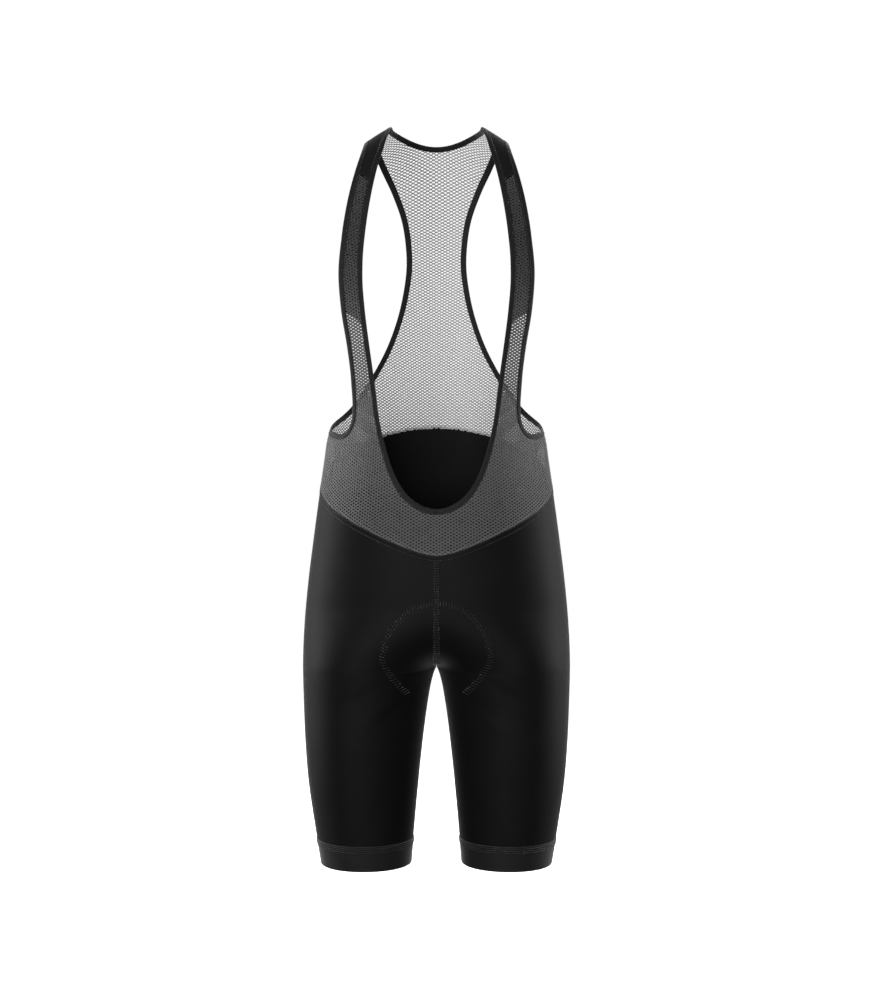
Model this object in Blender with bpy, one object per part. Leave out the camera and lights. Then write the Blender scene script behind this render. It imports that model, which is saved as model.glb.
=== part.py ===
"""Cycling bib shorts, filled out as when worn: black stretch shorts under a mesh bib.

The cloth is drafted like a sewing pattern and laid over one hollow form. A place on the pattern
has two coordinates: `across`, the distance round from the centre line (the side seam is at
HALF_GIRTH), and `fall`, the distance down the cloth from the shoulder ridge. The front and the back
each have such a pattern, and both are symmetric about x = 0.

Metres, +Z up. +X is the wearer's left, -Y the front. The origin lies midway between the shoulders,
at the height of the ridge of each strap's middle, where the wearer's shoulders carry the bib.
"""

from collections import namedtuple

import bpy
import numpy as np
from mathutils import Vector
from mathutils.geometry import delaunay_2d_cdt

# Cloth and seams.
GAP = 0.0003
LYCRA = 0.0015
MESH_CLOTH = 0.0012
CAP_CLOTH = 0.0015
BACKING_CLOTH = 0.0010
BACKING_GAP = 0.0005
BAND_CLOTH = 0.0018
BAND_PROUD = 0.0002
BINDING_WIDTH = 0.0065
BINDING_PROUD = 0.0005
BINDING_DEPTH = 0.0017
PAD_GAP = 0.0008
PAD_MIDDLE = 0.0070
PAD_RIM = 0.0015

# The form: shoulders, crotch and legs.
FRONT = -1
BACK = 1
HALF_GIRTH = 0.200
CHEST_DROP = 0.180
CHEST_FALL = 0.236
SHOULDER_ROUNDNESS = {FRONT: 2.2, BACK: 2.6}
RIDGE_LEVEL_X = 0.067
RIDGE_CURVE = 4.7
RIDGE_FADE = 0.110
ROUNDNESS = 2.15
CREASE_RADIUS = 0.015
CROTCH = -0.638
HEM_SEAM = -0.840
HEM = -0.870
LEG_GAP = 0.030
LEG_GAP_POWER = 0.62
SADDLE_RISE = {FRONT: 0.075, BACK: 0.150}
SADDLE_POWER = {FRONT: 3.0, BACK: 3.5}
SADDLE_EASE = 0.78

# How finely the form's curves are sampled before they are read.
OUTLINE_SAMPLES = 160
ARCH_SAMPLES = 400
CURVE_SAMPLES = 800
PATTERN_SAMPLES = 3000
NORMAL_STEP = 0.001
TINY = 1e-12

# The waist seam, from the centre front to the side and up to the centre back.
WAIST_FRONT = -0.503
WAIST_SIDE = -0.418
WAIST_BACK = -0.349
WAIST_POINT = 0.12
PAD_TOP = -0.554

# The bib's edges on the shoulder ridge, and the seams that end on them.
STRAP_INNER = 0.053
STRAP_OUTER = 0.086
NECK_POINT = -0.4488
NAPE_FALL = 0.0625
ARMHOLE_SIDE = -0.350
CAP_SEAM_INNER = -0.068
CAP_SEAM_OUTER = -0.062
BACKING_END_INNER = -0.236
BACKING_END_OUTER = -0.222

# Mirrors of pattern places: across the centre line, and over the shoulder ridge.
ACROSS_CENTRE = (-1, 1)
OVER_RIDGE = (1, -1)

# How finely the cloth is divided.
HALF_COLUMNS = 14
PAD_COLUMNS = 4
PAD_SLOPE_ROWS = 3
YOKE_ROWS = 5
SADDLE_ROWS = 7
SADDLE_CROWDING = 1.35
LEG_ROWS = 9
LEG_CROWDING = 1.6
WING_ROWS = 4
BAND_ROWS = 2
SIDE_SEAM_STEPS = 5
PANEL_STEP = 0.0125
RIM_CLEARANCE = 0.65
SHARP_ANGLE = np.radians(50)
CAP_STATIONS = 6
STRAP_STATIONS = 38
NAPE_STATIONS = 10
ARM_FRONT_STATIONS = 34
ARM_BACK_STATIONS = 34
SIDE_STATION = CAP_STATIONS + ARM_FRONT_STATIONS - 2

Section = namedtuple("Section", "level half_width front side back")
SECTIONS = [
    Section(0.000, 0.1950, -0.110, 0.000, 0.105),
    Section(-0.060, 0.1900, -0.110, 0.000, 0.105),
    Section(-0.120, 0.1780, -0.110, 0.000, 0.105),
    Section(-0.180, 0.1600, -0.110, 0.000, 0.105),
    Section(-0.240, 0.1460, -0.110, 0.000, 0.099),
    Section(-0.300, 0.1340, -0.107, 0.000, 0.090),
    Section(-0.350, 0.1265, -0.104, 0.000, 0.085),
    Section(-0.366, 0.1305, -0.104, 0.000, 0.085),
    Section(-0.390, 0.1340, -0.104, 0.000, 0.087),
    Section(-0.438, 0.1410, -0.105, 0.000, 0.092),
    Section(-0.486, 0.1475, -0.106, 0.001, 0.102),
    Section(-0.534, 0.1535, -0.107, 0.002, 0.114),
    Section(-0.582, 0.1580, -0.105, 0.004, 0.121),
    Section(-0.630, 0.1600, -0.099, 0.005, 0.116),
    Section(-0.678, 0.1590, -0.091, 0.004, 0.101),
    Section(-0.726, 0.1570, -0.086, 0.003, 0.089),
    Section(-0.774, 0.1530, -0.080, 0.001, 0.079),
    Section(-0.822, 0.1460, -0.073, 0.000, 0.070),
    Section(-0.870, 0.1380, -0.066, -0.001, 0.062),
]

# The pad's edge, as a share of the way from the centre line, or the inseam, to the side.
PadEdge = namedtuple("PadEdge", "level front back")
PAD_EDGES = [
    PadEdge(-0.349, 0.286, 0.286),
    PadEdge(PAD_TOP, 0.290, 0.330),
    PadEdge(-0.590, 0.290, 0.370),
    PadEdge(-0.620, 0.320, 0.410),
    PadEdge(-0.638, 0.420, 0.480),
    PadEdge(-0.660, 0.350, 0.390),
    PadEdge(-0.700, 0.240, 0.260),
    PadEdge(-0.740, 0.280, 0.280),
    PadEdge(-0.870, 0.286, 0.286),
]

# Edges of the bib as seen squarely from the front or the back, from the top of the strap down.
Edge = namedtuple("Edge", "x z")
NECK_EDGE = [
    Edge(0.0570, -0.008),
    Edge(0.0615, -0.028),
    Edge(0.0672, -0.050),
    Edge(0.0758, -0.093),
    Edge(0.0812, -0.130),
    Edge(0.0844, -0.165),
    Edge(0.0846, -0.190),
    Edge(0.0826, -0.216),
    Edge(0.0775, -0.258),
    Edge(0.0709, -0.306),
    Edge(0.0663, -0.343),
    Edge(0.0600, -0.372),
    Edge(0.0540, -0.393),
    Edge(0.0450, -0.415),
    Edge(0.0335, -0.432),
    Edge(0.0205, -0.4425),
    Edge(0.0100, -0.4472),
]
ARMHOLE_FRONT_EDGE = [
    Edge(0.0880, -0.033),
    Edge(0.0945, -0.059),
    Edge(0.1020, -0.092),
    Edge(0.1090, -0.135),
    Edge(0.1130, -0.182),
    Edge(0.1100, -0.220),
    Edge(0.1030, -0.263),
    Edge(0.0984, -0.305),
    Edge(0.0972, -0.332),
    Edge(0.0994, -0.3495),
    Edge(0.1045, -0.3585),
    Edge(0.1110, -0.3612),
    Edge(0.1185, -0.3590),
]
ARMHOLE_BACK_EDGE = [
    Edge(0.0684, -0.030),
    Edge(0.0544, -0.058),
    Edge(0.0440, -0.0865),
    Edge(0.0388, -0.118),
    Edge(0.0378, -0.143),
    Edge(0.0414, -0.175),
    Edge(0.0495, -0.211),
    Edge(0.0630, -0.249),
    Edge(0.0814, -0.285),
    Edge(0.1043, -0.322),
]

Finish = namedtuple("Finish", "name colour roughness")
LYCRA_FINISH = Finish("black_lycra", (0.010, 0.010, 0.011), 0.42)
MESH_FINISH = Finish("charcoal_mesh", (0.070, 0.070, 0.072), 0.75)
BINDING_FINISH = Finish("black_binding", (0.018, 0.018, 0.019), 0.65)
GRIPPER_FINISH = Finish("black_gripper", (0.022, 0.022, 0.024), 0.35)
BACKING_FINISH = Finish("black_backing", (0.012, 0.012, 0.012), 0.80)
PAD_FINISH = Finish("pad_fleece", (0.030, 0.030, 0.034), 0.90)


# ---------------------------------------------------------------- curves and tables

def column(table, name):
    """One named column of a table, as an array."""
    return np.array([getattr(row, name) for row in table])


def smooth(x, xs, ys):
    """Read at x the smooth cubic through the points (xs, ys), whose xs rise."""
    x = np.clip(x, xs[0], xs[-1])
    slopes = np.gradient(ys, xs)
    i = np.clip(np.searchsorted(xs, x) - 1, 0, len(xs) - 2)
    step = xs[i + 1] - xs[i]
    t = (x - xs[i]) / step
    here = ys[i] * (1 + 2 * t) * (1 - t) ** 2 + slopes[i] * step * t * (1 - t) ** 2
    there = ys[i + 1] * t * t * (3 - 2 * t) - slopes[i + 1] * step * t * t * (1 - t)
    return here + there


def read_down(table, name, level):
    """Read a table whose levels run downwards."""
    return smooth(-level, -column(table, "level"), column(table, name))


def lengths(points):
    """Distance along a run of points, starting at 0."""
    steps = np.linalg.norm(np.diff(points, axis=0), axis=1)
    return np.concatenate([[0.0], np.cumsum(steps)])


def curve_through(points):
    """A smooth curve through a few points, as many evenly spaced points."""
    points = np.asarray(points)
    along = lengths(points)
    fine = np.linspace(0, along[-1], 4 * CURVE_SAMPLES)
    dense = np.stack([smooth(fine, along, points[:, k]) for k in range(points.shape[1])], axis=1)
    return stations(dense, [0.0, 1.0], [CURVE_SAMPLES])


def stations(curve, shares, counts):
    """Points on a curve: counts[k] points from shares[k] to shares[k + 1] of its length."""
    along = lengths(curve)
    stops = [np.linspace(a, b, n) for a, b, n in zip(shares[:-1], shares[1:], counts)]
    stops = np.concatenate([stops[0]] + [run[1:] for run in stops[1:]]) * along[-1]
    return np.stack([np.interp(stops, along, curve[:, k]) for k in range(curve.shape[1])], axis=1)


# ---------------------------------------------------------------- the form

def edge_of(side):
    """The name of a side's column in the tables."""
    return "front" if side == FRONT else "back"


def shoulder_arch(side):
    """The shoulder's profile: share of the fall to the chest, share of its depth, and level."""
    angle = np.linspace(0, np.pi / 2, ARCH_SAMPLES)
    power = 2 / SHOULDER_ROUNDNESS[side]
    depth = np.sin(angle) ** power
    level = -CHEST_DROP * (1 - np.cos(angle) ** power)
    chest = abs(read_down(SECTIONS, edge_of(side), -CHEST_DROP))
    along = lengths(np.stack([depth * chest, level], axis=1))
    return along / along[-1], depth, level


ARCHES = {side: shoulder_arch(side) for side in (FRONT, BACK)}


def level_at(side, fall):
    """Height on the centre profile, before the ridge's own slope is added."""
    share, _, level = ARCHES[side]
    over_shoulder = np.interp(fall / CHEST_FALL, share, level)
    return np.where(fall < CHEST_FALL, over_shoulder, CHEST_FALL - CHEST_DROP - fall)


def fall_at(level):
    """Fall of a level below the chest."""
    return CHEST_FALL - CHEST_DROP - level


def ridge_lift(x, level):
    """How far the shoulders slope: up towards the neck, down towards the arm."""
    fade = np.clip(1 + level / RIDGE_FADE, 0, 1) ** 2
    return RIDGE_CURVE * (RIDGE_LEVEL_X ** 2 - x ** 2) * fade


def leg_gap(level):
    """Half the gap between the legs."""
    drop = np.clip((CROTCH - level) / (CROTCH - HEM), 0, None)
    return LEG_GAP * drop ** LEG_GAP_POWER


def saddle_share(side, level):
    """How full the centre line is just above the crotch, from 0 there to 1 at the belly."""
    rise = np.clip((level - CROTCH) / SADDLE_RISE[side], 0, 1)
    return (1 - (1 - rise) ** SADDLE_POWER[side]) ** SADDLE_EASE


def half_outline(side, fall):
    """Level outlines from the centre line, or the inseam, to the side: x, y and length shares."""
    level = level_at(side, fall)
    _, depth, _ = ARCHES[side]
    arch = np.interp(fall / CHEST_FALL, ARCHES[side][0], depth)
    middle = read_down(SECTIONS, "side", level)
    extreme = read_down(SECTIONS, edge_of(side), level)
    reach = (extreme - middle) * arch
    outer = np.hypot(read_down(SECTIONS, "half_width", level), CREASE_RADIUS)
    inner = np.hypot(leg_gap(level), CREASE_RADIUS)
    fullness = saddle_share(side, level)
    cut = (1 - fullness ** ROUNDNESS) ** (1 / ROUNDNESS)
    centre = (inner + outer * cut) / (1 + cut)
    start = -np.arcsin(np.clip(cut ** (ROUNDNESS / 2), 0, 1))
    turn = start[:, None] + (np.pi / 2 - start[:, None]) * np.linspace(0, 1, OUTLINE_SAMPLES)
    out = np.sign(np.sin(turn)) * np.abs(np.sin(turn)) ** (2 / ROUNDNESS)
    x = centre[:, None] + (outer - centre)[:, None] * out
    x = np.sqrt(np.clip(x ** 2 - CREASE_RADIUS ** 2, 0, None))
    y = middle[:, None] + reach[:, None] * np.clip(np.cos(turn), 0, None) ** (2 / ROUNDNESS)
    steps = np.hypot(np.diff(x, axis=1), np.diff(y, axis=1))
    along = np.concatenate([np.zeros((len(x), 1)), np.cumsum(steps, axis=1)], axis=1)
    return x, y, along / along[:, -1:]


def read_rows(at, xs, ys):
    """Read each row of the curve (xs, ys) at its own place, xs rising along a row."""
    i = np.clip((xs < at[:, None]).sum(axis=1) - 1, 0, xs.shape[1] - 2)
    row = np.arange(len(at))
    t = (at - xs[row, i]) / np.maximum(xs[row, i + 1] - xs[row, i], TINY)
    return ys[row, i] * (1 - t) + ys[row, i + 1] * t


def form(side, across, fall):
    """Points of the form. Past the side seam, or over the ridge, the place lies on the other side."""
    across, fall, side = (np.array(v, float).ravel() for v in np.broadcast_arrays(across, fall, side))
    share = np.abs(across) / HALF_GIRTH
    side = np.where(fall < 0, -side, side)
    side = np.where(share > 1, -side, side)
    share = np.where(share > 1, 2 - share, share)
    fall = np.abs(fall)
    points = np.zeros((len(share), 3))
    for half in (FRONT, BACK):
        pick = side == half
        if not pick.any():
            continue
        x, y, shares = half_outline(half, fall[pick])
        at_x = read_rows(share[pick], shares, x)
        level = level_at(half, fall[pick])
        points[pick, 0] = at_x * np.where(across[pick] < 0, -1, 1)
        points[pick, 1] = read_rows(share[pick], shares, y)
        points[pick, 2] = level + ridge_lift(at_x, level)
    return points


def outward(side, across, fall):
    """Unit vectors that point out of the form."""
    along = form(side, across + NORMAL_STEP, fall) - form(side, across - NORMAL_STEP, fall)
    down = form(side, across, fall + NORMAL_STEP) - form(side, across, fall - NORMAL_STEP)
    normal = side * np.cross(along, down)
    return normal / np.linalg.norm(normal, axis=1, keepdims=True)


def on_pattern(side, x, z):
    """The pattern place (across, fall) of a point of the form, from its x and z."""
    falls = np.linspace(0, fall_at(HEM), PATTERN_SAMPLES)
    levels = level_at(side, falls)
    heights = levels + ridge_lift(x, levels)
    fall = np.interp(-z, -heights, falls)
    outline_x, _, shares = half_outline(side, np.array([fall]))
    return HALF_GIRTH * np.interp(x, outline_x[0], shares[0]), fall


def on_ridge(x):
    """The pattern place of a point on the shoulder ridge."""
    return HALF_GIRTH * x / SECTIONS[0].half_width, 0.0


# ---------------------------------------------------------------- edges on the pattern

def inset(curve, width, end_mirror):
    """Move a pattern curve that starts on the ridge to its right; mirrors continue it past its ends."""
    run = np.vstack([curve[1] * OVER_RIDGE, curve, curve[-2] * end_mirror])
    tangent = run[2:] - run[:-2]
    tangent /= np.linalg.norm(tangent, axis=1, keepdims=True)
    return curve + width * np.stack([tangent[:, 1], -tangent[:, 0]], axis=1)


def neck_inset(curve, width):
    """Move a neck edge into the cloth."""
    return inset(curve, width, ACROSS_CENTRE)


def arm_inset(curve, width):
    """Move the armhole edge into the cloth."""
    return inset(curve, -width, OVER_RIDGE)


def neck_front():
    """The front neck edge from the ridge down to the centre front, with a station at the cap seam."""
    places = [on_ridge(STRAP_INNER)]
    places += [on_pattern(FRONT, edge.x, edge.z) for edge in NECK_EDGE]
    places += [(0.0, fall_at(NECK_POINT))]
    curve = curve_through(places)
    cap = split_at(curve, on_pattern(FRONT, STRAP_INNER, CAP_SEAM_INNER)[1])
    return stations(curve, [0, cap, 1], [CAP_STATIONS, STRAP_STATIONS])


def neck_back():
    """The back neck edge, half an ellipse from the ridge to the centre back."""
    turn = np.linspace(0, np.pi / 2, NAPE_STATIONS)
    fall = NAPE_FALL * np.sin(turn)
    x = STRAP_INNER * np.cos(turn)
    outline_x, _, shares = half_outline(BACK, fall)
    return np.stack([HALF_GIRTH * read_rows(x, outline_x, shares), fall], axis=1)


def armhole():
    """The armhole edge laid flat: down the front, past the side seam, and up the back.

    On the back its across runs on to 2 * HALF_GIRTH at the centre back.
    """
    front = [on_ridge(STRAP_OUTER)]
    front += [on_pattern(FRONT, edge.x, edge.z) for edge in ARMHOLE_FRONT_EDGE]
    front += [(HALF_GIRTH, fall_at(ARMHOLE_SIDE))]
    back = [on_pattern(BACK, edge.x, edge.z) for edge in reversed(ARMHOLE_BACK_EDGE)]
    back += [on_ridge(STRAP_OUTER)]
    places = front + [(2 * HALF_GIRTH - across, fall) for across, fall in back]
    curve = curve_through(places)
    cap = split_at(curve, on_pattern(FRONT, STRAP_OUTER, CAP_SEAM_OUTER)[1])
    side = np.searchsorted(curve[:, 0], HALF_GIRTH) / (len(curve) - 1)
    counts = [CAP_STATIONS, ARM_FRONT_STATIONS, ARM_BACK_STATIONS]
    points = stations(curve, [0, cap, side, 1], counts)
    points[SIDE_STATION, 0] = HALF_GIRTH
    return points


def split_at(curve, fall):
    """Share of a curve's length at which it first reaches a fall."""
    return np.argmax(curve[:, 1] >= fall) / (len(curve) - 1)


def waist_level(side, share):
    """Height of the waist seam: a blunt V in front, a shallow arch behind."""
    if side == FRONT:
        run = np.hypot(share, WAIST_POINT) - WAIST_POINT
        return WAIST_FRONT + (WAIST_SIDE - WAIST_FRONT) * run / (np.hypot(1, WAIST_POINT) - WAIST_POINT)
    return WAIST_BACK + (WAIST_SIDE - WAIST_BACK) * share ** 2


# ---------------------------------------------------------------- solids

def add_object(name, points, faces, finish):
    """Make a smooth-shaded object of a closed body."""
    mesh = bpy.data.meshes.new(name)
    mesh.from_pydata([Vector(point) for point in points], [], faces)
    mesh.validate()
    mesh.update()
    mesh.shade_smooth()
    mesh.set_sharp_from_angle(angle=SHARP_ANGLE)
    mesh.materials.append(material(finish))
    solid = bpy.data.objects.new(name, mesh)
    bpy.context.scene.collection.objects.link(solid)
    return solid


def material(finish):
    """The Principled material of a finish, made once."""
    made = bpy.data.materials.get(finish.name)
    if made:
        return made
    made = bpy.data.materials.new(finish.name)
    made.use_nodes = True
    shader = made.node_tree.nodes["Principled BSDF"]
    shader.inputs["Base Color"].default_value = (*finish.colour, 1)
    shader.inputs["Roughness"].default_value = finish.roughness
    shader.inputs["Metallic"].default_value = 0
    return made


def face_normals(points, faces):
    """Unnormalised normals of faces, from their first three or their crossing corners."""
    corners = [(face[0], face[1], face[2], face[-1]) for face in faces]
    a, b, c, d = (points[list(corner)] for corner in zip(*corners))
    return np.cross(c - a, d - b)


def vertex_normals(points, faces):
    """Unit normals of the sheet at its points."""
    total = np.zeros_like(points)
    for face, normal in zip(faces, face_normals(points, faces)):
        for corner in face:
            total[corner] += normal
    return total / np.linalg.norm(total, axis=1, keepdims=True)


def triangles(face):
    """A face split from its first corner, so that sheets laid on each other are split alike."""
    return [(face[0], face[k], face[k + 1]) for k in range(1, len(face) - 1)]


def wall(name, outer, inner, faces, finish):
    """A closed wall of cloth between an outer and an inner sheet with the same faces."""
    faces = [tri for face in faces for tri in triangles(face)]
    facing = face_normals(outer, faces)
    out = np.array([(outer[list(face)] - inner[list(face)]).mean(axis=0) for face in faces])
    if np.einsum("ij,ij->", facing, out) < 0:
        faces = [tuple(reversed(face)) for face in faces]
    edges = [edge for face in faces for edge in zip(face, face[1:] + face[:1])]
    shared = set(edges)
    rim = [(a, b) for a, b in edges if (b, a) not in shared]
    count = len(outer)
    body = list(faces)
    body += [tuple(corner + count for corner in reversed(face)) for face in faces]
    body += [(b, a, a + count, b + count) for a, b in rim]
    return add_object(name, np.vstack([outer, inner]), body, finish)


def mirrored(name, left):
    """The wearer's right-hand copy of a left-hand solid."""
    mesh = left.data
    points = [(-v.co.x, v.co.y, v.co.z) for v in mesh.vertices]
    faces = [tuple(reversed(face.vertices)) for face in mesh.polygons]
    copy = bpy.data.meshes.new(name)
    copy.from_pydata(points, [], faces)
    copy.shade_smooth()
    copy.set_sharp_from_angle(angle=SHARP_ANGLE)
    copy.materials.append(mesh.materials[0])
    solid = bpy.data.objects.new(name, copy)
    bpy.context.scene.collection.objects.link(solid)
    return solid


def inside(points, outline):
    """Which points lie inside a closed outline."""
    x, y = points[:, :1], points[:, 1:]
    ax, ay = outline.T
    bx, by = np.roll(outline, -1, axis=0).T
    crosses = (ay > y) != (by > y)
    at = ax + (y - ay) / np.where(by == ay, TINY, by - ay) * (bx - ax)
    return (crosses & (x < at)).sum(axis=1) % 2 == 1


def cut_panel(outline):
    """Divide a flat pattern piece into even triangles: its points and faces."""
    low, high = outline.min(axis=0), outline.max(axis=0)
    rows = np.arange(low[1], high[1], PANEL_STEP * np.sqrt(3) / 2)
    half = np.arange(0, max(high[0], -low[0]), PANEL_STEP)
    grid = []
    for k, fall in enumerate(rows):
        shift = PANEL_STEP / 2 if k % 2 else 0
        xs = np.concatenate([-half[::-1] - shift, half + shift] if shift else [-half[:0:-1], half])
        grid += [(x, fall) for x in xs]
    grid = np.array(grid)
    near = np.linalg.norm(grid[:, None] - outline[None], axis=2).min(axis=1)
    grid = grid[inside(grid, outline) & (near > RIM_CLEARANCE * PANEL_STEP)]
    places = np.vstack([outline, grid])
    rim = [(k, (k + 1) % len(outline)) for k in range(len(outline))]
    found = delaunay_2d_cdt([Vector(place) for place in places], rim, [], 1, 1e-7)
    return np.array([tuple(place) for place in found[0]]), [tuple(face) for face in found[2]]


def panel(name, side, outline, cloth, finish, depth=0.0):
    """A pattern piece laid on the form, `depth` below its surface, as a wall of cloth."""
    places, faces = cut_panel(outline)
    surface = form(side, places[:, 0], places[:, 1])
    normal = outward(side, places[:, 0], places[:, 1])
    outer = surface - depth * normal
    return wall(name, outer, outer - cloth * normal, faces, finish)


def band(name, edge, inner_edge, sides, finish):
    """A bound edge: a closed strip between two rails of pattern places."""
    rails = []
    for rail, height in ((edge, BINDING_PROUD), (inner_edge, BINDING_PROUD),
                         (inner_edge, -BINDING_DEPTH), (edge, -BINDING_DEPTH)):
        surface = form(sides, rail[:, 0], rail[:, 1])
        rails.append(surface + height * outward_each(sides, rail))
    count = len(edge)
    points = np.vstack(rails)
    faces = []
    for k in range(count):
        after = (k + 1) % count
        for corner in range(4):
            following = (corner + 1) % 4
            faces.append((corner * count + k, corner * count + after,
                          following * count + after, following * count + k))
    middle = points.reshape(4, count, 3).mean(axis=0)
    first = np.array(faces[0])
    facing = face_normals(points, [tuple(first)])[0]
    if facing @ (points[first].mean(axis=0) - (middle[0] + middle[1]) / 2) < 0:
        faces = [tuple(reversed(face)) for face in faces]
    return add_object(name, points, faces, finish)


def outward_each(sides, rail):
    """Outward vectors on a rail whose places lie on both the front and the back."""
    normal = np.zeros((len(rail), 3))
    for side in (FRONT, BACK):
        pick = sides == side
        if pick.any():
            normal[pick] = outward(side, rail[pick, 0], rail[pick, 1])
    return normal


# ---------------------------------------------------------------- the shorts

def column_shares(side, level):
    """Shares of the columns between the centre line and the side; column PAD_COLUMNS is the pad's edge."""
    edge = read_down(PAD_EDGES, edge_of(side), level)
    under_pad = np.linspace(0, edge, PAD_COLUMNS + 1)
    beyond = np.linspace(edge, 1, HALF_COLUMNS - PAD_COLUMNS + 1)
    return np.concatenate([under_pad, beyond[1:]])


def shorts_levels():
    """Levels of the rows below the yoke: fine at the crotch, and down to the hem seam."""
    up = np.arange(SADDLE_ROWS, -1, -1) / SADDLE_ROWS
    down = np.arange(1, LEG_ROWS + 1) / LEG_ROWS
    above = CROTCH + (PAD_TOP - CROTCH) * up ** SADDLE_CROWDING
    below = CROTCH + (HEM_SEAM - CROTCH) * down ** LEG_CROWDING
    return np.concatenate([above, below])


def leg_row(levels_front, levels_back, share_level):
    """One row round the left half, from the centre front past the side to the centre back."""
    shares_front = column_shares(FRONT, share_level)
    shares_back = column_shares(BACK, share_level)[::-1]
    front = form(FRONT, HALF_GIRTH * shares_front, fall_at(levels_front))
    back = form(BACK, HALF_GIRTH * shares_back, fall_at(levels_back))
    row = np.vstack([front, back[1:]])
    row[:, 0] = np.maximum(row[:, 0], GAP / 2)
    return row


def shorts_grid():
    """Points of the left half as rows, and the index of the row at the crotch."""
    levels = shorts_levels()
    shares = column_shares(FRONT, WAIST_BACK)
    top_front = waist_level(FRONT, shares) - GAP / 2
    top_back = waist_level(BACK, shares[::-1]) - GAP / 2
    rows = []
    for k in range(YOKE_ROWS):
        t = k / YOKE_ROWS
        front = top_front + (levels[0] - top_front) * t
        back = top_back + (levels[0] - top_back) * t
        rows.append(leg_row(front, back, WAIST_BACK + (levels[0] - WAIST_BACK) * t))
    for level in levels:
        rows.append(leg_row(level, level, level))
    return np.array(rows), YOKE_ROWS + SADDLE_ROWS


def sheet_of_grid(rows, closed_from):
    """Number the points of a grid whose rows are rings from one row on: index, points and faces."""
    count, width = rows.shape[:2]
    index = -np.ones((count, width), int)
    points = []
    for i in range(count):
        for j in range(width):
            if i >= closed_from and j == width - 1:
                index[i, j] = index[i, 0]
                continue
            index[i, j] = len(points)
            points.append(rows[i, j])
    faces = []
    for i in range(count - 1):
        for j in range(width - 1):
            faces.append((index[i, j], index[i, j + 1], index[i + 1, j + 1], index[i + 1, j]))
    return index, np.array(points), [tuple(int(k) for k in face) for face in faces]


def seam_normals(points, faces):
    """Normals of a half's sheet; along the centre seam they stay in the plane of the seam."""
    normal = vertex_normals(points, faces)
    on_seam = points[:, 0] <= GAP
    normal[on_seam, 0] = 0
    return normal / np.linalg.norm(normal, axis=1, keepdims=True)


def make_shorts():
    """The left and right halves; returns the left half's grid for the pad that lies on it."""
    rows, crotch_row = shorts_grid()
    index, points, faces = sheet_of_grid(rows, crotch_row)
    normal = seam_normals(points, faces)
    left = wall("shorts_left", points, points - LYCRA * out_of_cloth(points, normal), faces, LYCRA_FINISH)
    mirrored("shorts_right", left)
    return index, points, out_of_cloth(points, normal), crotch_row


def out_of_cloth(points, normal):
    """Turn normals outward: away from the axis of the waist and of the leg."""
    widest = np.argmax(points[:, 0])
    return normal * np.sign(normal[widest, 0])


def make_hem_bands():
    """The leg grippers, each a ring under a leg's hem seam."""
    rows = [leg_row(level, level, HEM_SEAM) for level in np.linspace(HEM_SEAM - GAP, HEM, BAND_ROWS + 1)]
    _, points, faces = sheet_of_grid(np.array(rows), 0)
    normal = out_of_cloth(points, vertex_normals(points, faces))
    normal[:, 2] = 0
    outer = points + BAND_PROUD * normal
    left = wall("hem_band_left", outer, outer - BAND_CLOTH * normal, faces, GRIPPER_FINISH)
    mirrored("hem_band_right", left)


def make_pad(index, points, normal, crotch_row):
    """The seat pad, laid on the inside of both halves' own points."""
    first = YOKE_ROWS
    last = crotch_row + WING_ROWS
    width = index.shape[1]
    numbers = {}
    outer = []
    inner = []
    faces = []

    def corner(i, j, mirror):
        """The pad's point on a shorts point, shared by both halves along the centre line."""
        central = i <= crotch_row and j in (0, width - 1)
        key = (index[i, j], mirror and not central)
        if key not in numbers:
            numbers[key] = len(outer)
            flip = np.array([-1 if mirror else 1, 1, 1])
            place = points[index[i, j]] * (np.array([0, 1, 1]) if central else flip)
            inwards = -normal[index[i, j]] * flip
            columns_in = min(j, width - 1 - j) / PAD_COLUMNS
            rows_in = np.clip(min(i - first, last - i) / PAD_SLOPE_ROWS, 0, 1)
            swell = (1 - columns_in ** 2) * np.sin(rows_in * np.pi / 2)
            outer.append(place + (LYCRA + PAD_GAP) * inwards)
            inner.append(outer[-1] + (PAD_RIM + (PAD_MIDDLE - PAD_RIM) * swell) * inwards)
        return numbers[key]

    for mirror in (False, True):
        for i in range(first, last):
            for j in [*range(PAD_COLUMNS), *range(width - 1 - PAD_COLUMNS, width - 1)]:
                square = [corner(i, j, mirror), corner(i, j + 1, mirror),
                          corner(i + 1, j + 1, mirror), corner(i + 1, j, mirror)]
                clip = clipped_corner(i, j, first, last, width)
                if clip is not None:
                    del square[clip]
                faces.append((square[0], *reversed(square[1:])) if mirror else tuple(square))
    used = sorted({k for face in faces for k in face})
    renumber = {k: n for n, k in enumerate(used)}
    faces = [tuple(renumber[k] for k in face) for face in faces]
    wall("chamois_pad", np.array(outer)[used], np.array(inner)[used], faces, PAD_FINISH)


def clipped_corner(i, j, first, last, width):
    """Which corner of a cell of the pad's grid is cut off to round the pad."""
    if i == first and j == PAD_COLUMNS - 1:
        return 1
    if i == first and j == width - 1 - PAD_COLUMNS:
        return 0
    if i == last - 1 and j == PAD_COLUMNS - 1:
        return 2
    if i == last - 1 and j == width - 1 - PAD_COLUMNS:
        return 3
    return None


# ---------------------------------------------------------------- the bib

def waist_places(side):
    """Places just above the waist seam, from one side seam to the other."""
    shares = column_shares(side, WAIST_BACK)
    shares = np.concatenate([-shares[:0:-1], shares])
    levels = waist_level(side, np.abs(shares)) + GAP / 2
    across = np.clip(HALF_GIRTH * shares, GAP / 2 - HALF_GIRTH, HALF_GIRTH - GAP / 2)
    return np.stack([across, fall_at(levels)], axis=1)


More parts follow.
